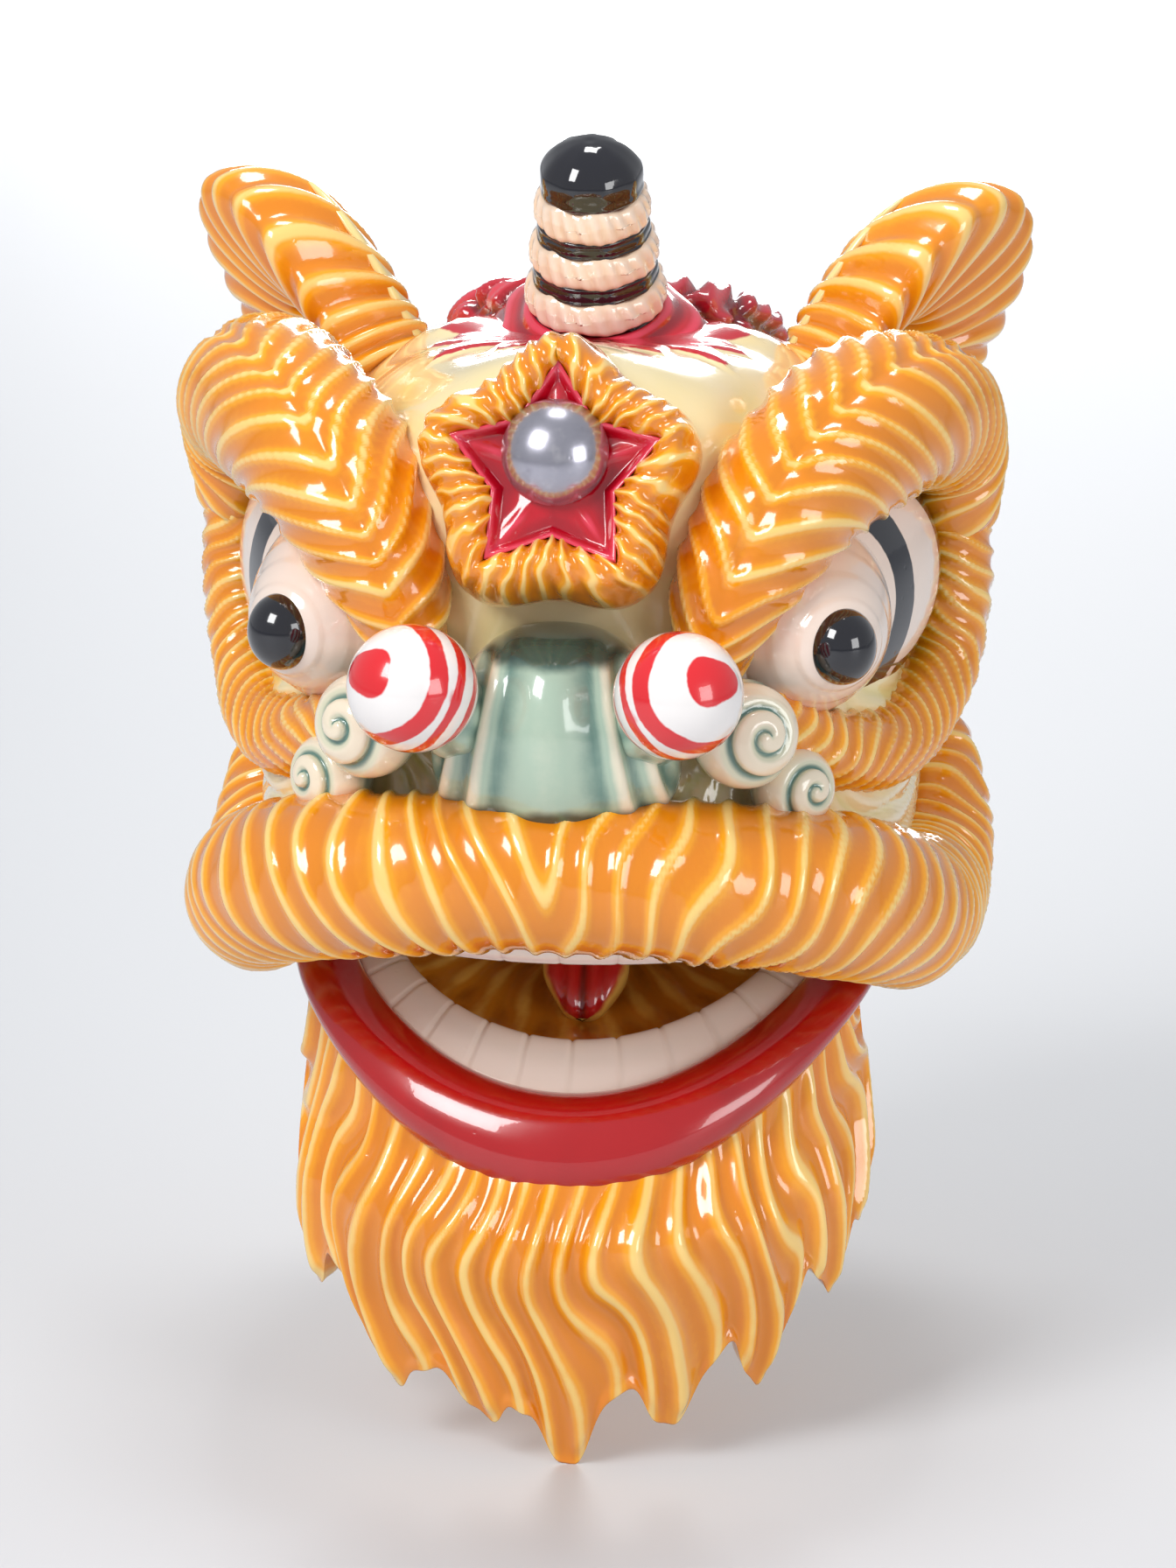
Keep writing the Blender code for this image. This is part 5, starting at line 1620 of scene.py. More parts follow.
@dataclass(frozen=True)
class Horn:
    """Rope rings and black bands stacked under a glossy cap, on a red collar."""

    base_radius: float = 9.4 * MM
    tip_radius: float = 6.2 * MM
    lean: float = math.radians(20.0)
    ring_height: float = 4.6 * MM
    band_height: float = 1.7 * MM
    cap_height: float = 6.6 * MM
    skirt_height: float = 4.4 * MM
    skirt_spread: float = 7.6 * MM
    skirt_wave: float = 1.2 * MM
    skirt_fold: float = 0.35 * MM
    skirt_under: float = 0.8
    lobe_rise: float = 0.34 * MM
    rope_sway: float = 0.28 * MM
    knurls: int = 24

    def spot(self, radius: Array, turn: Array, height: Array) -> Array:
        """Points round the horn's axis."""
        axis = (0.0, -math.sin(self.lean), math.cos(self.lean))
        return around(frame_on(HORN_FOOT, axis, (0.0, 1.0, 0.0)), radius, turn, height)

    def radius_at(self, height: float) -> float:
        """The horn's radius at a height above its skirt."""
        whole = 3 * self.ring_height + 2 * self.band_height + self.cap_height
        return self.base_radius + (self.tip_radius - self.base_radius) * height / whole

    def build(self, lion: Lion) -> None:
        """Makes the stack and its collar.

        Args:
            lion: takes the pieces.
        """
        ring, band = (self.ring_height, ROPE_PROFILE), (self.band_height, BAND_PROFILE)
        stack = (
            ("ring_lower", *ring), ("band_lower", *band), ("ring_middle", *ring),
            ("band_upper", *band), ("ring_upper", *ring), ("cap", self.cap_height, CAP_PROFILE),
        )
        height = 0.0
        for word, tall, rows in stack:
            node, roped = "horn_" + word, rows is ROPE_PROFILE
            slim = [self.radius_at(height + tall * min(max(level, 0.0), 1.0)) for _, level in rows]
            base = self.skirt_height + height
            profile = [(share * radius, base + tall * level) for radius, (share, level) in zip(slim, rows)]
            dress = self.rope(base, tall) if roped else self.plain
            lion.add(turned(node + "_turned", profile, 120, dress), HORN_ROPE if roped else BLACK, node)
            height += tall
        lion.add(skin("horn_skirt_collar", 140, 40, self.skirt), RED, "horn_skirt")

    def rope(self, base: float, tall: float) -> Turn:
        """The dressing of one rope ring.

        Args:
            base: the height of its lower edge.
            tall: its height.

        Returns:
            The dressing: slanting lobes whose edges are dark where the glaze pools.
        """

        def dress(radius: Array, turn: Array, height: Array) -> Form:
            """Works the lobes into the ring.

            Args:
                radius: distances from the horn's axis.
                turn: turns round it.
                height: heights above its foot.

            Returns:
                The ring.
            """
            level = np.clip((height - base) / tall, 0, 1)
            bulge = np.sqrt(np.clip(1 - (2 * level - 1) ** 2, 0, 1)) * ease(radius, 3 * MM, 5 * MM)
            lobe = ripple(self.knurls * turn / FULL_TURN + 0.8 * level + 0.12 * np.sin(3 * turn + base / MM))
            wave = self.rope_sway * np.sin(turn * 7 + base / MM) * np.where(level > 0.5, 1, -0.6)
            crest = lobe * 0.30 * bulge + 0.68 * ease(bulge, 0.15, 0.75)
            away = radius + (lobe - 0.6) * self.lobe_rise * bulge
            return dressed(self.spot(away, turn, height + wave), crest)

        return dress

    def plain(self, radius: Array, turn: Array, height: Array) -> Form:
        """An even black glaze, slightly out of round."""
        return dressed(self.spot(radius * (1 + 0.012 * np.sin(9 * turn)), turn, height), 0.4)

    def skirt(self, u: Array, w: Array) -> Form:
        """The red collar in soft level folds, closed underneath.

        Args:
            u: places round it.
            w: places up its outside and back to its middle.

        Returns:
            The collar.
        """
        turn = FULL_TURN * u
        side = np.clip(w / self.skirt_under, 0, 1)
        spread = self.skirt_spread + self.skirt_wave * np.cos(5 * turn)
        away = self.base_radius * 0.9 + (1 - side) * spread
        folds = self.skirt_fold * np.sin(side * 15) * ease(side, 0.02, 0.2)
        low = DOME.above(away * np.cos(turn), HORN_FOOT[1] + away * np.sin(turn), 0.25 * MM)
        top = self.spot(away + folds, turn, self.skirt_height * side**1.25)
        blend = ease(side, 0.0, 0.45)[:, None]
        points = low * (1 - blend) + top * blend
        under = ease(w, self.skirt_under, 1.0)[:, None]
        points = points * (1 - under) + (np.array(HORN_FOOT) - (0.0, 0.0, 4 * MM)) * under
        return dressed(points, 0.5 + 0.45 * np.sin(side * 15))


# Forehead star


@dataclass(frozen=True)
class ForeheadStar:
    """A red star dish with a pearl, in a rope frame."""

    centre: Point = at(0.0, -1.03, 0.87)
    tilt: float = math.radians(22.0)
    radius: float = 13.4 * MM
    notch: float = 7.8 * MM
    part: float = math.pi / 5
    dish_share: float = 0.7
    dish_depth: float = 6.0 * MM
    trim_reach: float = 17.6 * MM
    trim_notch: float = 14.4 * MM
    trim_rise: float = 2.9 * MM
    trim_relief: float = 0.6 * MM
    pearl_radius: float = 6.7 * MM
    pearl_lift: float = 0.18
    strands: float = 34.0
    # the frame's section: share of its width, share of its rise
    section: Rows = (
        (0.02, -0.5), (0.00, 0.10), (0.22, 0.92), (0.52, 1.12), (0.82, 0.70), (1.02, -0.6), (1.06, -3.0),
        (0.5, -4.6), (0.05, -3.0),
    )

    def spot(self, reach: Array, angle: Array, rise: Array, lift: float = 0.0) -> Array:
        """Points round a middle raised by `lift` from the star's, angle 0 at its top point."""
        place = frame_on(self.centre, (0.0, -math.cos(self.tilt), math.sin(self.tilt)))
        return around(place @ Matrix.Translation((0.0, lift, 0.0)), reach, angle + math.pi / 2, rise)

    def fold(self, angle: Array) -> Array:
        """The turn from the nearest point of the star."""
        return np.abs(np.mod(angle + self.part, 2 * self.part) - self.part)

    def edge(self, angle: Array) -> Array:
        """The distance to the star's edge.

        Args:
            angle: turns from its top point.

        Returns:
            The distances.
        """
        fold = self.fold(angle)
        across = self.radius * self.notch * math.sin(self.part)
        return across / (self.notch * np.sin(self.part - fold) + self.radius * np.sin(fold))

    def build(self, lion: Lion) -> None:
        """Makes the dish, the frame and the pearl.

        Args:
            lion: takes the pieces.
        """
        lion.add(skin("forehead_star_dish", 140, 56, self.dish), RED, "forehead_star")
        lion.add(skin("star_trim_rope", 60, 400, self.rope), FUR, "star_trim")
        lion.add(skin("forehead_pearl_bead", 48, 32, self.pearl), PEARL, "forehead_pearl")

    def dish(self, u: Array, w: Array) -> Form:
        """The star, ridged to its points and rimmed.

        Args:
            u: places round it.
            w: places from its middle to its edge and back underneath.

        Returns:
            The star.
        """
        angle, over = FULL_TURN * u, w < self.dish_share
        share = np.clip(w / self.dish_share, 0, 1)
        reach = np.where(over, share, 1.0 - ease(w, self.dish_share, 1.0)) * self.edge(angle) * 1.04
        crease = hill(self.fold(angle) / self.part, 0.0, 0.16) * ease(share, 0.35, 0.6)
        rim = ease(share, 0.80, 0.97)
        rise = (1.1 * rim + 0.5 * crease - 0.5 * ease(share, 0.2, 0.6) * (1 - rim)) * MM
        rise = np.where(over, rise, rise - self.dish_depth * ease(w, self.dish_share, self.dish_share + 0.1))
        crest = 0.45 + 0.5 * np.maximum(crease, rim) - 0.25 * ease(share, 0.5, 0.75) * (1 - rim)
        return dressed(self.spot(reach, angle, rise), crest)

    def rope(self, u: Array, w: Array) -> Form:
        """The frame.

        Args:
            u: places round its section.
            w: places round the star.

        Returns:
            The frame.
        """
        angle = FULL_TURN * w
        lobe = 0.5 + 0.5 * np.cos(5 * angle)
        inner = self.edge(angle)
        width = self.trim_notch + (self.trim_reach - self.trim_notch) * lobe - inner
        share, height = closed_rows(self.section, u).T
        phase = self.strands * w + 0.9 * share * (0.5 - lobe) + 0.2 * wander(w * 30, share * 3, 4.0)
        wave = ripple(phase)
        relief = (wave - 0.5) * self.trim_relief * ease(height, -2.0, 0.0)
        reach = inner + width * share + relief * (share - 0.5) * 1.6
        points = self.spot(reach, angle, height * self.trim_rise + relief)
        return dressed(points, wave**2.4, chance(np.round(phase), 3.0))

    def pearl(self, u: Array, w: Array) -> Form:
        """The silver bead sunk in a red socket.

        Args:
            u: places round it.
            w: places from its top to its middle underneath.

        Returns:
            The bead.
        """
        fall = math.pi * 0.5 * np.clip(w / 0.8, 0, 1)
        under = ease(w, 0.8, 1.0)
        reach = self.pearl_radius * np.sin(fall) * (1 - under)
        rise = self.pearl_radius * 0.86 * np.cos(fall) - 1.5 * MM * under + 0.3 * MM
        points = self.spot(reach, FULL_TURN * u, rise, self.pearl_lift * self.radius)
        return dressed(points, 0.5, red=(w - 0.76) * 60)


# Nose


@dataclass(frozen=True)
class Snout:
    """The ribbed nose with its balls, stalks and curls."""

    centre: Point = at(0.0, -0.98, 0.21)
    half_width: float = 15.5 * MM
    depth: float = 25.0 * MM
    height: float = 25.0 * MM
    rib_rise: float = 0.085
    ball_centre: Point = at(0.39, -1.29, 0.37)
    ball_radius: float = 7.9 * MM
    ball_stretch: float = 1.06
    stalk_axis: Point = (0.42, -0.74, 0.52)
    spot_axis: Point = (0.60, -0.68, 0.43)
    stalk_radius: float = 4.6 * MM
    stalk_length: float = 9.0 * MM
    curl_radius: float = 6.6 * MM
    # half width and middle of the ball's stripes, in degrees from its spot
    stripes: Rows = ((9.0, 68.0, 1.0), (5.5, 93.0, -1.0), (6.0, 118.0, 0.0))
    # share of the stalk's radius, share of its length
    stem_shares: Rows = (
        (0.0, 0.0), (1.15, 0.02), (1.28, 0.16), (1.12, 0.36),
        (1.16, 0.56), (1.02, 0.78), (0.9, 0.98), (0.0, 1.0),
    )
    # node, side, front or back, up or down, radius, facing
    curls: tuple = (
        ("nostril_curl", 0.56, -1.00, 0.21, 1.00, (0.55, -0.82, 0.16)),
        ("whisker_curl", 0.69, -0.85, 0.04, 0.80, (0.72, -0.68, 0.12)),
    )

    def build(self, lion: Lion) -> None:
        """Makes the snout and both sides' balls, stalks and curls.

        Args:
            lion: takes the pieces.
        """
        lion.add(skin("nose_ribbed", 150, 80, self.bridge), SNOUT, "nose")
        low, high = -self.ball_radius - self.stalk_length, -0.5 * self.ball_radius
        stem_rows = [(share, low + (high - low) * level) for share, level in self.stem_shares]
        profile = scaled(stem_rows, self.stalk_radius, 1.0)
        radii = (self.ball_radius, self.ball_radius, self.ball_stretch * self.ball_radius)
        for side in Side:
            place = frame_on(self.ball_centre, self.spot_axis)
            striped = ball(f"nose_ball_striped_{side.word}", radii, place, self.striped, side)
            lion.add(striped, BALL, "nose_ball_" + side.word)
            stem = turned(f"nose_stalk_stem_{side.word}", profile, 72, self.stem, side)
            lion.add(stem, SNOUT, "nose_stalk_" + side.word)
            for node, *place, share, facing in self.curls:
                shape = self.curl_shape(at(*place), share * self.curl_radius, facing)
                name = f"{node}_{side.word}"
                lion.add(skin(name + "_scroll", 100, 56, shape, side), CURL, name)

    def bridge(self, u: Array, w: Array) -> Form:
        """The nose, fluted from top to lip, with painted shade in dark teal along its top and its foot.

        Args:
            u: places round it.
            w: places down it.

        Returns:
            The nose.
        """
        turn, fall = FULL_TURN * u, math.pi * w
        level = np.cos(fall)
        flare = 0.96 - 0.24 * level
        full = np.sin(fall) ** 0.55
        x, y = full * np.sin(turn), -full * np.cos(turn)
        phase = np.interp(np.abs(x), (0.0, 0.42, 0.68, 0.90, 1.0), (0.0, 0.5, 1.5, 2.5, 3.0))
        rib = ripple(phase)
        rise = 1 + self.rib_rise * (rib - 0.5) * ease(-y, 0.0, 0.4) * ease(np.abs(level), 0.98, 0.75)
        own = columns(x * self.half_width * flare * rise, y * self.depth / 2 * rise, level * self.height / 2)
        # painted shade: dark teal bands along the top, against the forehead, and along the foot, against the
        # lip
        line = np.maximum((level - 0.80) * 9, (-0.66 - level) * 7)
        crest = np.where(phase < 0.5, 0.10 + 0.52 * np.sqrt(rib), 0.12 + 0.85 * rib)
        return dressed(own + np.array(self.centre), crest, line=line)

    def striped(self, own: Array) -> dict[str, Array]:
        """Marks the ball's red spot in front and its stripes behind.

        Args:
            own: points in the ball's own space.

        Returns:
            The marks.
        """
        turn = np.arctan2(own[:, 1], own[:, 0])
        angle = np.degrees(np.arctan2(np.hypot(own[:, 0], own[:, 1]), own[:, 2]))
        wave = 2.0 * np.sin(3 * turn + 1.0)
        red = 24.0 + 2.5 * np.cos(2 * turn) + 2.0 * np.sin(3 * turn + 2.0) - angle
        for half, middle, sway in self.stripes:
            red = np.maximum(red, half - np.abs(angle - middle + sway * wave))
        return {"crest": 0.6, "tone": 0.5, "red": red * math.radians(self.ball_radius / MM)}

    def stem(self, radius: Array, turn: Array, height: Array) -> Form:
        """The stalk, ribbed lengthwise.

        Args:
            radius: distances from the stalk's axis.
            turn: turns round it.
            height: distances along it.

        Returns:
            The stalk.
        """
        rib = 0.5 + 0.5 * np.cos(turn * 8)
        points = around(frame_on(self.ball_centre, self.stalk_axis), radius * (1 + 0.05 * rib), turn, height)
        crest = 0.2 + 0.55 * rib * ease(radius, 0.95 * self.stalk_radius, 1.2 * self.stalk_radius)
        # the stalk takes none of the nose's painted shade
        return dressed(points, crest, line=UNBRUSHED)

    @staticmethod
    def curl_shape(centre: Sequence[float], radius: float, facing: Sequence[float]) -> Shape:
        """A dome carved with one spiral groove.

        Args:
            centre: its middle.
            radius: its radius.
            facing: the way it looks.

        Returns:
            The shape.
        """
        place = frame_on(centre, facing)

        def shape(u: Array, w: Array) -> Form:
            """The dome, its spiral marked low for the pooled colour.

            Args:
                u: places round it.
                w: places from its top to its middle underneath.

            Returns:
                The curl.
            """
            fall = math.pi * w
            away = np.sin(fall) * (fall < math.pi / 2) + (fall >= math.pi / 2)
            wave = ripple(away * 2.1 - u)
            groove = wave**4 * ease(fall, 1.7, 1.45) * ease(away, 0.03, 0.16)
            full = radius * (1.04 - 0.15 * groove)
            crest = 0.95 - 0.95 * wave**3 * ease(fall, 1.9, 1.5) - 0.75 * ease(fall, 1.45, 1.9)
            points = around(place, full * np.sin(fall), FULL_TURN * u, full * np.cos(fall) * 0.95)
            return dressed(points, crest)

        return shape


# Mouth, jaw and beard


def mouth_point(turn: Array, side: Array, reach: Array, drop: Array, dip: Array) -> Array:
    """Points of the horseshoe mouth, for turns from 0 in front to a quarter turn at a corner."""
    level = -JAW_TOP_DROP * drop - JAW_DIP * dip * np.cos(turn) ** 2
    return columns(side * JAW_HALF_WIDTH * np.sin(turn), -reach * JAW_REACH * np.cos(turn), level)


@dataclass(frozen=True)
class Mouth:
    """Lips, teeth, lining and tongue."""

    cap: float = 0.02
    gum_height: float = 3.6 * MM
    tooth_line: float = 0.35 * MM
    teeth: int = 14
    lip_span: float = 0.98
    teeth_span: float = 0.93
    lining_wall: float = 2.0 * MM
    lining_fold: float = 0.55 * MM
    lining_inside: float = 0.6
    lining_reach: float = 0.56
    lining_back: float = 0.10
    tongue_place: Point = (0.0, -0.17 * JAW_REACH, -JAW_TOP_DROP * 1.06)
    tongue_axis: Point = (0.0, -0.70, -0.70)
    tongue_half: float = 5.7 * MM
    tongue_reach: float = 7.4 * MM
    tongue_top: float = 3.2 * MM
    tongue_under: float = 4.2 * MM
    # every section's row: side, reach, drop, dip
    lip_section: Rows = (
        (0.815, 0.780, 0.970, 0.600), (0.880, 0.880, 0.950, 0.590), (0.960, 0.975, 0.955, 0.650),
        (1.010, 1.035, 0.990, 0.790), (1.020, 1.040, 1.020, 0.900), (1.000, 1.000, 1.055, 0.985),
        (0.960, 0.900, 1.085, 0.990), (0.850, 0.780, 1.090, 0.700),
    )
    teeth_section: Rows = (
        (0.660, 0.600, 0.975, 0.350), (0.700, 0.650, 0.950, 0.390), (0.790, 0.755, 0.968, 0.550),
        (0.820, 0.780, 0.990, 0.590), (0.838, 0.765, 1.080, 0.660), (0.665, 0.570, 1.060, 0.440),
    )
    # the upper teeth's row: side, reach, rise
    gum_section: Rows = (
        (0.74, 0.86, 0.0), (0.80, 0.94, -0.06), (0.86, 1.01, 0.0), (0.90, 1.06, 0.6), (0.94, 1.13, 2.4),
        (0.78, 0.92, 2.4),
    )

    def build(self, lion: Lion) -> None:
        """Makes every piece of the mouth.

        Args:
            lion: takes the pieces.
        """
        lion.add(skin("lower_lip_red", 36, 180, self.lip), RED_LIP, "lower_lip")
        lion.add(skin("lower_teeth_row", 28, 260, self.lower_teeth), TEETH, "lower_teeth")
        lion.add(skin("upper_teeth_row", 28, 260, self.upper_teeth), TEETH, "upper_gum")
        lion.add(skin("mouth_lining_bowl", 132, 72, self.lining), MOUTH, "mouth_lining")
        lion.add(skin("tongue_shield", 56, 44, self.tongue), TONGUE, "tongue")

    def strip(self, section: Rows, u: Array, w: Array, span: float) -> tuple[Array, Array]:
        """A section led round the mouth, with rounded ends.

        Args:
            section: its rows.
            u: places round the section.
            w: places along the strip.
            span: the share of a quarter turn that it reaches to each side.

        Returns:
            The turns, and the section's rows.
        """
        t, _, _, tip = ends(w, self.cap)
        closing = np.sqrt(np.clip(1 - tip**2, 0, 1))[:, None]
        middle = np.mean(np.array(section), axis=0)[None, :]
        return math.pi / 2 * span * (2 * t - 1), middle + (closed_rows(section, u) - middle) * closing

    def lip(self, u: Array, w: Array) -> Form:
        """The crimson lower lip, for places round its section and along it."""
        turn, rows = self.strip(self.lip_section, u, w, self.lip_span)
        return dressed(mouth_point(turn, *rows.T), 0.5 + 0.2 * wander(turn * 8, rows[:, 0] * 12, 1.0))

    def lower_teeth(self, u: Array, w: Array) -> Form:
        """The lower teeth, parted by shallow lines.

        Args:
            u: places round their section.
            w: places along the row.

        Returns:
            The teeth.
        """
        turn, rows = self.strip(self.teeth_section, u, w, self.teeth_span)
        line = self.tooth_lines(turn) * ease(u, 0.0, 0.05) * ease(u, 0.62, 0.5)
        points = mouth_point(turn, *rows.T) - columns(0.0, 0.0, self.tooth_line * line)
        return dressed(points, 0.74 - 0.34 * line, red=UNBRUSHED)

    def tooth_lines(self, turn: Array) -> Array:
        """1 on the line between two teeth."""
        part = np.mod(turn / (math.pi / self.teeth), 1.0)
        return hill(np.minimum(part, 1 - part), 0.0, 0.045)

    def upper_teeth(self, u: Array, w: Array) -> Form:
        """The upper teeth under the lip, with a thin red gum line above.

        Args:
            u: places round their section.
            w: places along the row.

        Returns:
            The teeth.
        """
        turn, rows = self.strip(self.gum_section, u, w, self.teeth_span)
        side, reach, rise = rows.T
        bow, line = np.cos(turn), self.tooth_lines(turn)
        level = -JAW_TOP_DROP * 0.89 + 0.25 * JAW_DIP * bow + rise * self.gum_height * (0.4 + 0.6 * bow)
        points = columns(side * JAW_HALF_WIDTH * np.sin(turn), -reach * JAW_REACH * np.cos(turn), level)
        points = points + columns(-np.sin(turn), np.cos(turn), 0.0) * (self.tooth_line * line)[:, None]
        return dressed(points, 0.74 - 0.45 * line, red=(rise - 0.75) * 3.0)

    def lining_point(self, angle: Array, depth: Array, inset: Array) -> Array:
        """Points of the bowl.

        Args:
            angle: turns round its almond edge.
            depth: 0 at the edge and 1 at the back.
            inset: how far each point stands outside the bowl's own line.

        Returns:
            The points.
        """
        across, up = np.cos(angle), np.sin(angle)
        spread, back = np.cos(depth * math.pi / 2), np.sin(depth * math.pi / 2)
        reach = self.lining_reach * JAW_REACH * np.abs(up) * np.where(up < 0, 1.0, 1.35)
        rise = np.where(up < 0, 0.40, 0.34) * JAW_DIP * up
        return columns(
            across * (0.64 * JAW_HALF_WIDTH + inset) * spread,
            (inset - reach) * (1 - back) + (self.lining_back * JAW_REACH + inset) * back,
            (rise + inset * up) * spread - JAW_TOP_DROP,
        )

    def lining(self, u: Array, w: Array) -> Form:
        """The amber bowl behind the teeth, wrinkled towards its throat.

        Args:
            u: places round it.
            w: places from the back along the inside to the edge and back outside.

        Returns:
            The bowl.
        """
        angle, turn_out = FULL_TURN * u, self.lining_inside
        inner = w < turn_out
        depth = np.where(inner, 1 - w / turn_out, (w - turn_out) / (1 - turn_out))
        ray = 0.5 + 0.5 * np.cos(angle * 22 + 2.2 * np.sin(depth * 5 + angle))
        fold = ray**1.5 * 0.7 + ripple(2.4 * depth + 0.15 * np.sin(9 * angle)) * 0.3
        fold = fold * ease(depth, 1.0, 0.75) * inner
        layer = ease(w, turn_out - 0.015, turn_out + 0.015) * self.lining_wall
        layer = layer - self.lining_fold * fold * ease(depth, 0.0, 0.12)
        return dressed(self.lining_point(angle, depth, layer), 0.25 + 0.75 * fold)

    def tongue(self, u: Array, w: Array) -> Form:
        """The tongue: a shield, pointed in front, with a groove down its middle.

        Args:
            u: places round it.
            w: places from tip to root.

        Returns:
            The tongue.
        """
        turn, fall = FULL_TURN * u, math.pi * w
        reach, up = np.cos(fall), np.sin(turn)
        half = self.tongue_half * np.sin(fall) ** 0.6 * (1 - 0.30 * ease(reach, 0.0, 1.0))
        thick = np.where(up > 0, self.tongue_top, self.tongue_under) * np.sin(fall) ** 0.7
        own = columns(half * np.cos(turn), thick * np.sign(up) * np.abs(up) ** 0.8, self.tongue_reach * reach)
        across = np.abs(own[:, 0]) / MM
        groove, side = hill(across, 0.0, 0.7) * (up > 0), hill(across, 2.6, 0.5) * (up > 0)
        own[:, 1] = own[:, 1] - (0.9 * groove + 0.35 * side) * MM
        points = moved(frame_on(self.tongue_place, self.tongue_axis), own)
        return dressed(points, 0.75 - 0.75 * groove - 0.35 * side, edge=0.5 - up * 1.2)


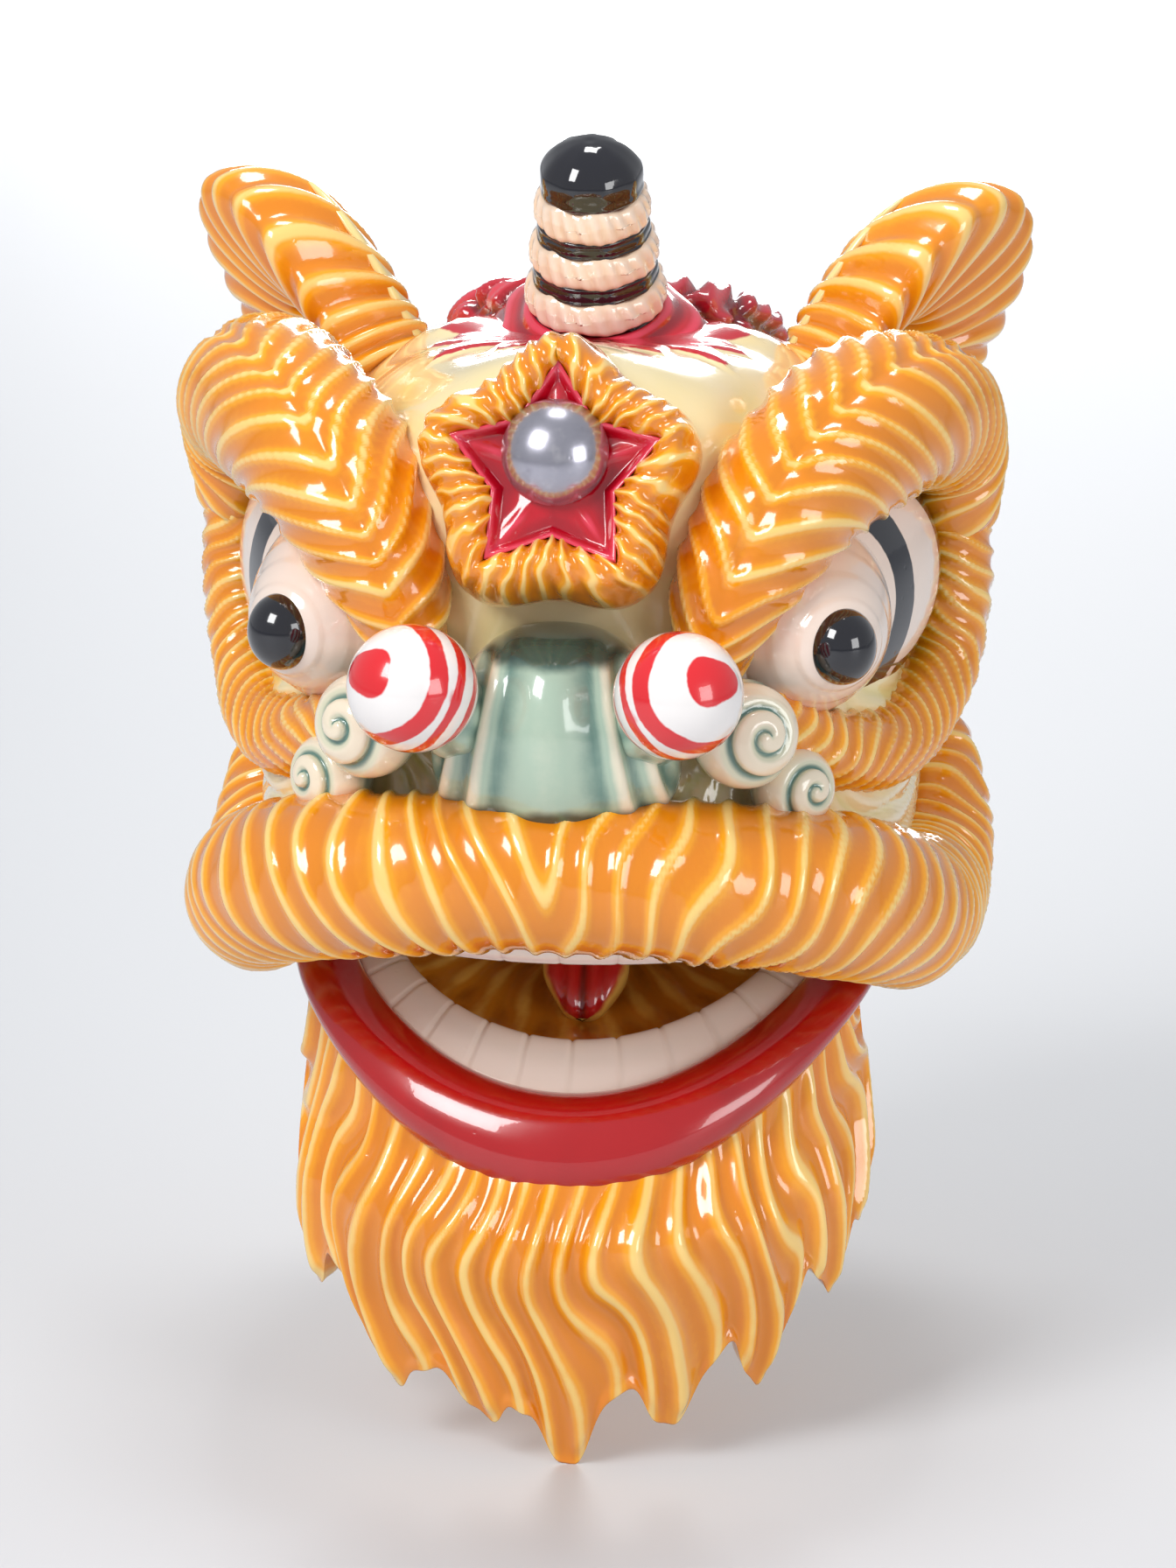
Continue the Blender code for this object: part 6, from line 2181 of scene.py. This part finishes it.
@dataclass(frozen=True)
class Chin:
    """The jaw's bowl and the long beard that hangs from it."""

    jaw_wall: float = 3.0 * MM
    jaw_share: float = 0.6
    jaw_comb: float = 0.35 * MM
    length: float = 59.0 * MM
    thickness: float = 5.5 * MM
    comb_rise: float = 1.3 * MM
    front_share: float = 0.62
    back: float = 0.12
    strands: float = 15.0
    # fall, side, front
    sections: Rows = (
        (0.00, 0.93, 0.90), (0.30, 0.98, 0.98), (0.47, 1.01, 1.17), (0.69, 0.99, 1.08), (1.00, 0.86, 0.92),
    )
    # turn round the chin in quarter turns, length
    locks: Rows = (
        (-1.00, 0.16), (-0.90, 0.38), (-0.82, 0.52), (-0.72, 0.67), (-0.62, 0.63), (-0.44, 0.84),
        (-0.30, 0.86), (-0.14, 0.90), (0.00, 1.00), (0.13, 0.88), (0.26, 0.90), (0.40, 0.78),
        (0.50, 0.82), (0.62, 0.62), (0.72, 0.65), (0.82, 0.52), (0.90, 0.38), (1.00, 0.16),
    )

    def build(self, lion: Lion) -> None:
        """Makes the jaw and the beard."""
        lion.add(skin("jaw_bowl", 130, 70, self.jaw), FUR, "jaw")
        lion.add(skin("beard_locks", 300, 140, self.beard), FUR, "beard")

    @staticmethod
    def jaw_point(turn: Array, depth: Array, inset: Array) -> Array:
        """Points of the jaw's bowl.

        Args:
            turn: turns round the mouth.
            depth: 0 along the lip and 1 at the keel under the chin.
            inset: how far each point stands inside.

        Returns:
            The points.
        """
        edge = mouth_point(turn, 0.93, 0.86, 1.08, 0.84)
        keel = np.array((0.0, 0.02 * JAW_REACH, -JAW_TOP_DROP - 0.72 * JAW_DIP))
        fall = 0.34 * JAW_DIP * np.sin(math.pi * depth) * (0.35 + 0.65 * np.cos(turn))
        point = edge * (1 - depth)[:, None] + keel * depth[:, None]
        outward = unit(columns(point[:, 0], point[:, 1] - 0.1 * JAW_REACH, 0.0))
        away = unit(outward * (1 - depth)[:, None] + np.array((0, 0, -1.0)) * (0.35 + depth)[:, None])
        return point - columns(0.0, 0.0, fall) - away * inset[:, None]

    def jaw(self, u: Array, w: Array) -> Form:
        """The bowl, combed from lip to keel, closed round its edges.

        Args:
            u: places from corner to corner.
            w: places from the lip to the keel and back inside.

        Returns:
            The jaw.
        """
        side, outer = 2 * u - 1, w < self.jaw_share
        inner = np.clip((1 - w) / (1 - self.jaw_share), 0, 1)
        depth = 0.97 * np.where(outer, np.clip(w / self.jaw_share, 0, 1), inner)
        closing = np.sqrt(np.clip(1 - np.abs(side) ** 16, 0, 1))
        inset = np.where(outer | (w >= 1.0), 0.0, self.jaw_wall * closing)
        phase = 10 * side + 0.8 * np.sin(depth * 4 + side * 3)
        wave = ripple(phase) ** 1.3
        relief = self.jaw_comb * (wave - 0.5) * outer * ease(depth, 0.03, 0.25) * closing
        points = self.jaw_point(math.pi / 2 * 0.97 * side, depth, inset - relief)
        return dressed(points, 0.2 + 0.65 * wave, chance(np.round(phase), 5.0))

    def comb(self, share: Array, down: Array) -> Array:
        """The number of the strand.

        Args:
            share: places across the beard.
            down: places down it.

        Returns:
            The numbers, with their fractions.
        """
        flow = 0.85 * np.sin(down * 3.9 + 2.2 * share + 0.7) * ease(down, 0.0, 0.45)
        flow = flow + 0.16 * np.sin(down * 7.3 + share * 7.0) + 0.3 * wander(share * 4, down * 1.5, 6.0)
        return self.strands * share * (1 - 0.12 * down) + flow

    def beard(self, u: Array, w: Array) -> Form:
        """Long combed locks: the front sheet falls to the tips and comes back up behind.

        Args:
            u: places from side to side.
            w: places down the front and up behind.

        Returns:
            The beard.
        """
        side, front = 2 * u - 1, w < self.front_share
        share = 0.95 * side
        turn = math.pi / 2 * share
        down = np.where(front, w / self.front_share, (1 - w) / (1 - self.front_share))
        phase = self.comb(share, down)
        wave, lock = ripple(phase), ripple((phase + 0.3) / 3)
        lengths = ripple((self.comb(share, 1.0) + 0.3) / 3)
        reach = smooth_rows(self.locks, share)[:, 0]
        reach = reach + 0.085 * (lengths - 0.6) * ease(down, 0.3, 1.0) + 0.02 * (wave - 0.5) * down
        top = mouth_point(turn, 0.99, 0.93, 1.03, 0.86)[:, 2]
        level = top + (-JAW_TOP_DROP - self.length * reach - top) * down
        wide, ahead = smooth_rows(self.sections, (-JAW_TOP_DROP - level) / self.length).T
        thin = self.thickness * np.minimum(0.36 + 2.4 * down, 1.0) * (1 - 0.5 * down)
        closing = np.sqrt(np.clip(1 - np.abs(side) ** 24, 0, 1))
        closing = closing * ease(down, 1.0, 0.93) * ease(down, 0.0, 0.04)
        relief = (wave**1.3 + lock - 1.0) * self.comb_rise * ease(down, 0.0, 0.2) * front
        inset = np.where(front, 0.0, thin * closing) - relief * (1 - 0.6 * ease(down, 0.9, 1.0)) * closing
        half = wide * JAW_HALF_WIDTH - inset
        out = (ahead - self.back) * JAW_REACH - inset
        points = columns(half * np.sin(turn), -self.back * JAW_REACH - out * np.cos(turn), level)
        return dressed(points, wave**2.4, chance(np.round(phase), 7.0))


# Nape


@dataclass(frozen=True)
class Nape:
    """The bare arched plate on the nape and the curled cord that frames it."""

    half_width: float = 10.0 * MM
    top: float = 42.0 * MM
    bottom: float = 1.5 * MM
    rise: float = 1.2 * MM
    cord: float = 1.6 * MM
    plate_share: float = 0.85
    arch_start: float = 0.78
    cord_out: Point = (0.0, 1.0, 0.15)
    cord_cap: float = 0.02
    curl_cap: float = 0.08
    plate_lift: float = 0.05 * MM
    # every path's row: side, up, radius
    path: Rows = (
        (0.00, 1.00, 1.00), (0.55, 0.99, 1.00), (0.96, 0.88, 1.00), (1.10, 0.66, 1.00), (1.18, 0.36, 1.00),
        (1.34, 0.12, 1.00), (1.75, 0.02, 1.00), (2.12, 0.10, 1.10), (2.02, 0.22, 1.40),
    )
    curl: Rows = ((1.52, 0.78, 0.90), (1.56, 0.55, 1.00), (1.60, 0.36, 1.10), (1.78, 0.26, 1.50))

    def build(self, lion: Lion) -> None:
        """Makes the plate and the cord.

        Args:
            lion: takes the pieces.
        """
        lion.add(skin("nape_plate_bare", 60, 80, self.plate), NAPE, "nape_plate")
        cord, curl = self.course(self.path, True), self.course(self.curl, False)
        arch = skin("nape_scroll_cord", 24, 360, lambda u, w: self.scroll(u, w, cord, self.cord_cap))
        lion.add(arch, SCROLL, "nape_scroll")
        for side in Side:
            name = f"nape_scroll_curl_{side.word}"
            end = skin(name, 24, 90, lambda u, w: self.scroll(u, w, curl, self.curl_cap), side)
            lion.add(end, SCROLL, "nape_scroll")

    def plate(self, u: Array, w: Array) -> Form:
        """The plate, softly crowned, its edge sunk.

        Args:
            u: places across it.
            w: places from its foot to its top and back behind.

        Returns:
            The plate.
        """
        outer = w < self.plate_share
        share, side = np.clip(w / self.plate_share, 0, 1), 2 * u - 1
        level = self.bottom + (self.top - self.bottom - 0.8 * self.cord) * share
        arch = np.maximum(share - self.arch_start, 0.0) / (1 - self.arch_start)
        half = (self.half_width - 0.6 * self.cord) * np.sqrt(1.0 - 0.95 * arch**2)
        under = np.clip((w - self.plate_share) / (1 - self.plate_share), 0, 1)
        level = level + (self.bottom - level) * under * (~outer)
        edge = ease(np.abs(side), 1.0, 0.85) * ease(share, 0.0, 0.04) * ease(share, 1.0, 0.95)
        lift = np.where(outer, self.plate_lift + self.rise * edge, self.plate_lift)
        crest = 0.74 - 0.16 * (1 - edge) - 0.22 * ease(np.abs(side), 0.6, 1.0) - 0.3 * ease(share, 0.25, 0.0)
        return dressed(DOME.behind(half * side, level, lift), crest)

    def course(self, path: Rows, both_sides: bool) -> Course:
        """A path on the back of the head, closely spaced.

        Args:
            path: sideways places, levels and radii.
            both_sides: whether it is led across the middle plane.

        Returns:
            The path.
        """
        rows = []
        for out, up, share in path:
            level = self.bottom + (self.top - self.bottom) * up
            point = DOME.behind(np.array([out * self.half_width]), np.array([level]), 0.5 * self.cord)[0]
            rows.append((*point, share * self.cord))
        found = fine_rows(mirrored(rows) if both_sides else rows)
        return Course(np.arange(float(COURSE_STEPS)), found[:, :3], found[:, 3])

    def scroll(self, u: Array, w: Array, course: Course, cap: float) -> Form:
        """A cord along a path.

        Args:
            u: places round the cord.
            w: places along it.
            course: its path.
            cap: the share that each rounded end takes.

        Returns:
            The cord.
        """
        share, beyond, domed, _ = ends(w, cap)
        out = np.array(self.cord_out)
        spot, outward, sideways, radius = course.sweep(
            share * course.far[-1], beyond, lambda spots: np.broadcast_to(out, spots.shape)
        )
        angle = FULL_TURN * (u - 0.5)
        ring = np.cos(angle)[:, None] * outward + np.sin(angle)[:, None] * sideways
        crest = 0.25 + 0.8 * ease(np.cos(angle), -0.2, 0.9)
        return dressed(spot + ring * (radius * domed)[:, None], crest)


# The scene round the head


@dataclass(frozen=True)
class Studio:
    """A pale floor, soft lights and the camera at the photograph's viewing angle."""

    azimuth: float = 6.0
    elevation: float = 16.0
    distance: float = 0.95
    lens: float = 168.0
    sensor: float = 36.0
    aim: Point = (0.0, -0.004, -0.0545)
    surround: Colour = (0.62, 0.64, 0.67)
    surround_strength: float = 0.70
    floor_half: float = 6.0
    floor_gap: float = 1.0 * MM
    floor_colour: Colour = (0.60, 0.61, 0.63)
    floor_roughness: float = 0.6
    # name, direction from the head, distance, size, power
    lights: tuple = (
        ("key", (-0.55, -0.75, 0.75), 1.1, 0.45, 7.6),
        ("fill", (0.85, -0.70, 0.25), 1.2, 0.50, 3.8),
        ("top", (0.0, 0.15, 1.0), 1.0, 0.28, 3.0),
        ("rear", (-0.05, 1.0, 0.22), 1.2, 0.50, 4.4),
    )

    def build(self) -> None:
        """Sets up the floor, the lights and the camera."""
        self.floor()
        world = bpy.data.worlds.new("pale_surround")
        world.use_nodes = True
        backdrop = world.node_tree.nodes["Background"].inputs
        backdrop["Color"].default_value = (*self.surround, 1.0)
        backdrop["Strength"].default_value = self.surround_strength
        bpy.context.scene.world = world
        bpy.context.scene.view_settings.view_transform = "Standard"
        for name, direction, away, size, power in self.lights:
            self.light(name, Vector(direction).normalized() * away, size, power)
        self.camera()

    def floor(self) -> None:
        """A wide pale floor under the beard."""
        bm = bmesh.new()
        bmesh.ops.create_grid(bm, x_segments=1, y_segments=1, size=self.floor_half)
        bmesh.ops.translate(bm, verts=bm.verts[:], vec=(0.0, 0.0, CAD_BOX[0][2] - self.floor_gap))
        made = mesh_object("floor", base_mesh("floor", bm))
        finish = bpy.data.materials.new("pale_floor")
        finish.use_nodes = True
        shader = finish.node_tree.nodes["Principled BSDF"].inputs
        shader["Base Color"].default_value = (*self.floor_colour, 1.0)
        shader["Roughness"].default_value = self.floor_roughness
        made.data.materials.append(finish)

    def placed(self, name: str, data: bpy.types.ID, away: Vector) -> Piece:
        """An object set off from the aim and turned to face it.

        Args:
            name: its name.
            data: its lamp or lens.
            away: how far it stands from the aim, and which way.

        Returns:
            The object.
        """
        made = bpy.data.objects.new(name, data)
        made.location = Vector(self.aim) + away
        made.rotation_euler = (-away).to_track_quat("-Z", "Y").to_euler()
        bpy.context.scene.collection.objects.link(made)
        return made

    def light(self, name: str, away: Vector, size: float, power: float) -> None:
        """A soft square light that faces the head.

        Args:
            name: its name.
            away: where it stands from the aim.
            size: its width.
            power: its strength in watts.
        """
        lamp = bpy.data.lights.new(name, "AREA")
        lamp.shape = "SQUARE"
        lamp.size = size
        lamp.energy = power
        self.placed(name, lamp, away)

    def camera(self) -> None:
        """The camera, set for the photograph's upright frame."""
        lens = bpy.data.cameras.new("camera")
        lens.lens = self.lens
        lens.sensor_fit = "VERTICAL"
        lens.sensor_height = self.sensor
        turn, lift = math.radians(self.azimuth), math.radians(self.elevation)
        away = Vector((math.sin(turn) * math.cos(lift), -math.cos(turn) * math.cos(lift), math.sin(lift)))
        bpy.context.scene.camera = self.placed("camera", lens, away * self.distance)


def main() -> None:
    """Builds every piece in order, then the studio."""
    logging.basicConfig(level=logging.INFO, format="%(message)s")
    GROUPS["pooled"] = pooled_glaze_group()
    GROUPS["edge"] = brushed_edge_group()
    GROUPS["surface"] = fired_surface_group()
    lion = Lion()
    crown = (HeadShell(), UPPER_LIP, RIM_BAND, Garland(), Horn(), ForeheadStar())
    for part in (*crown, Snout(), Mouth(), Chin(), Nape()):
        part.build(lion)
    for side in Side:
        for part in (BROW, LID, Eye(), Ear(), CheekDisc()):
            part.build(lion, side)
    Studio().build()


if __name__ == "__main__":
    main()
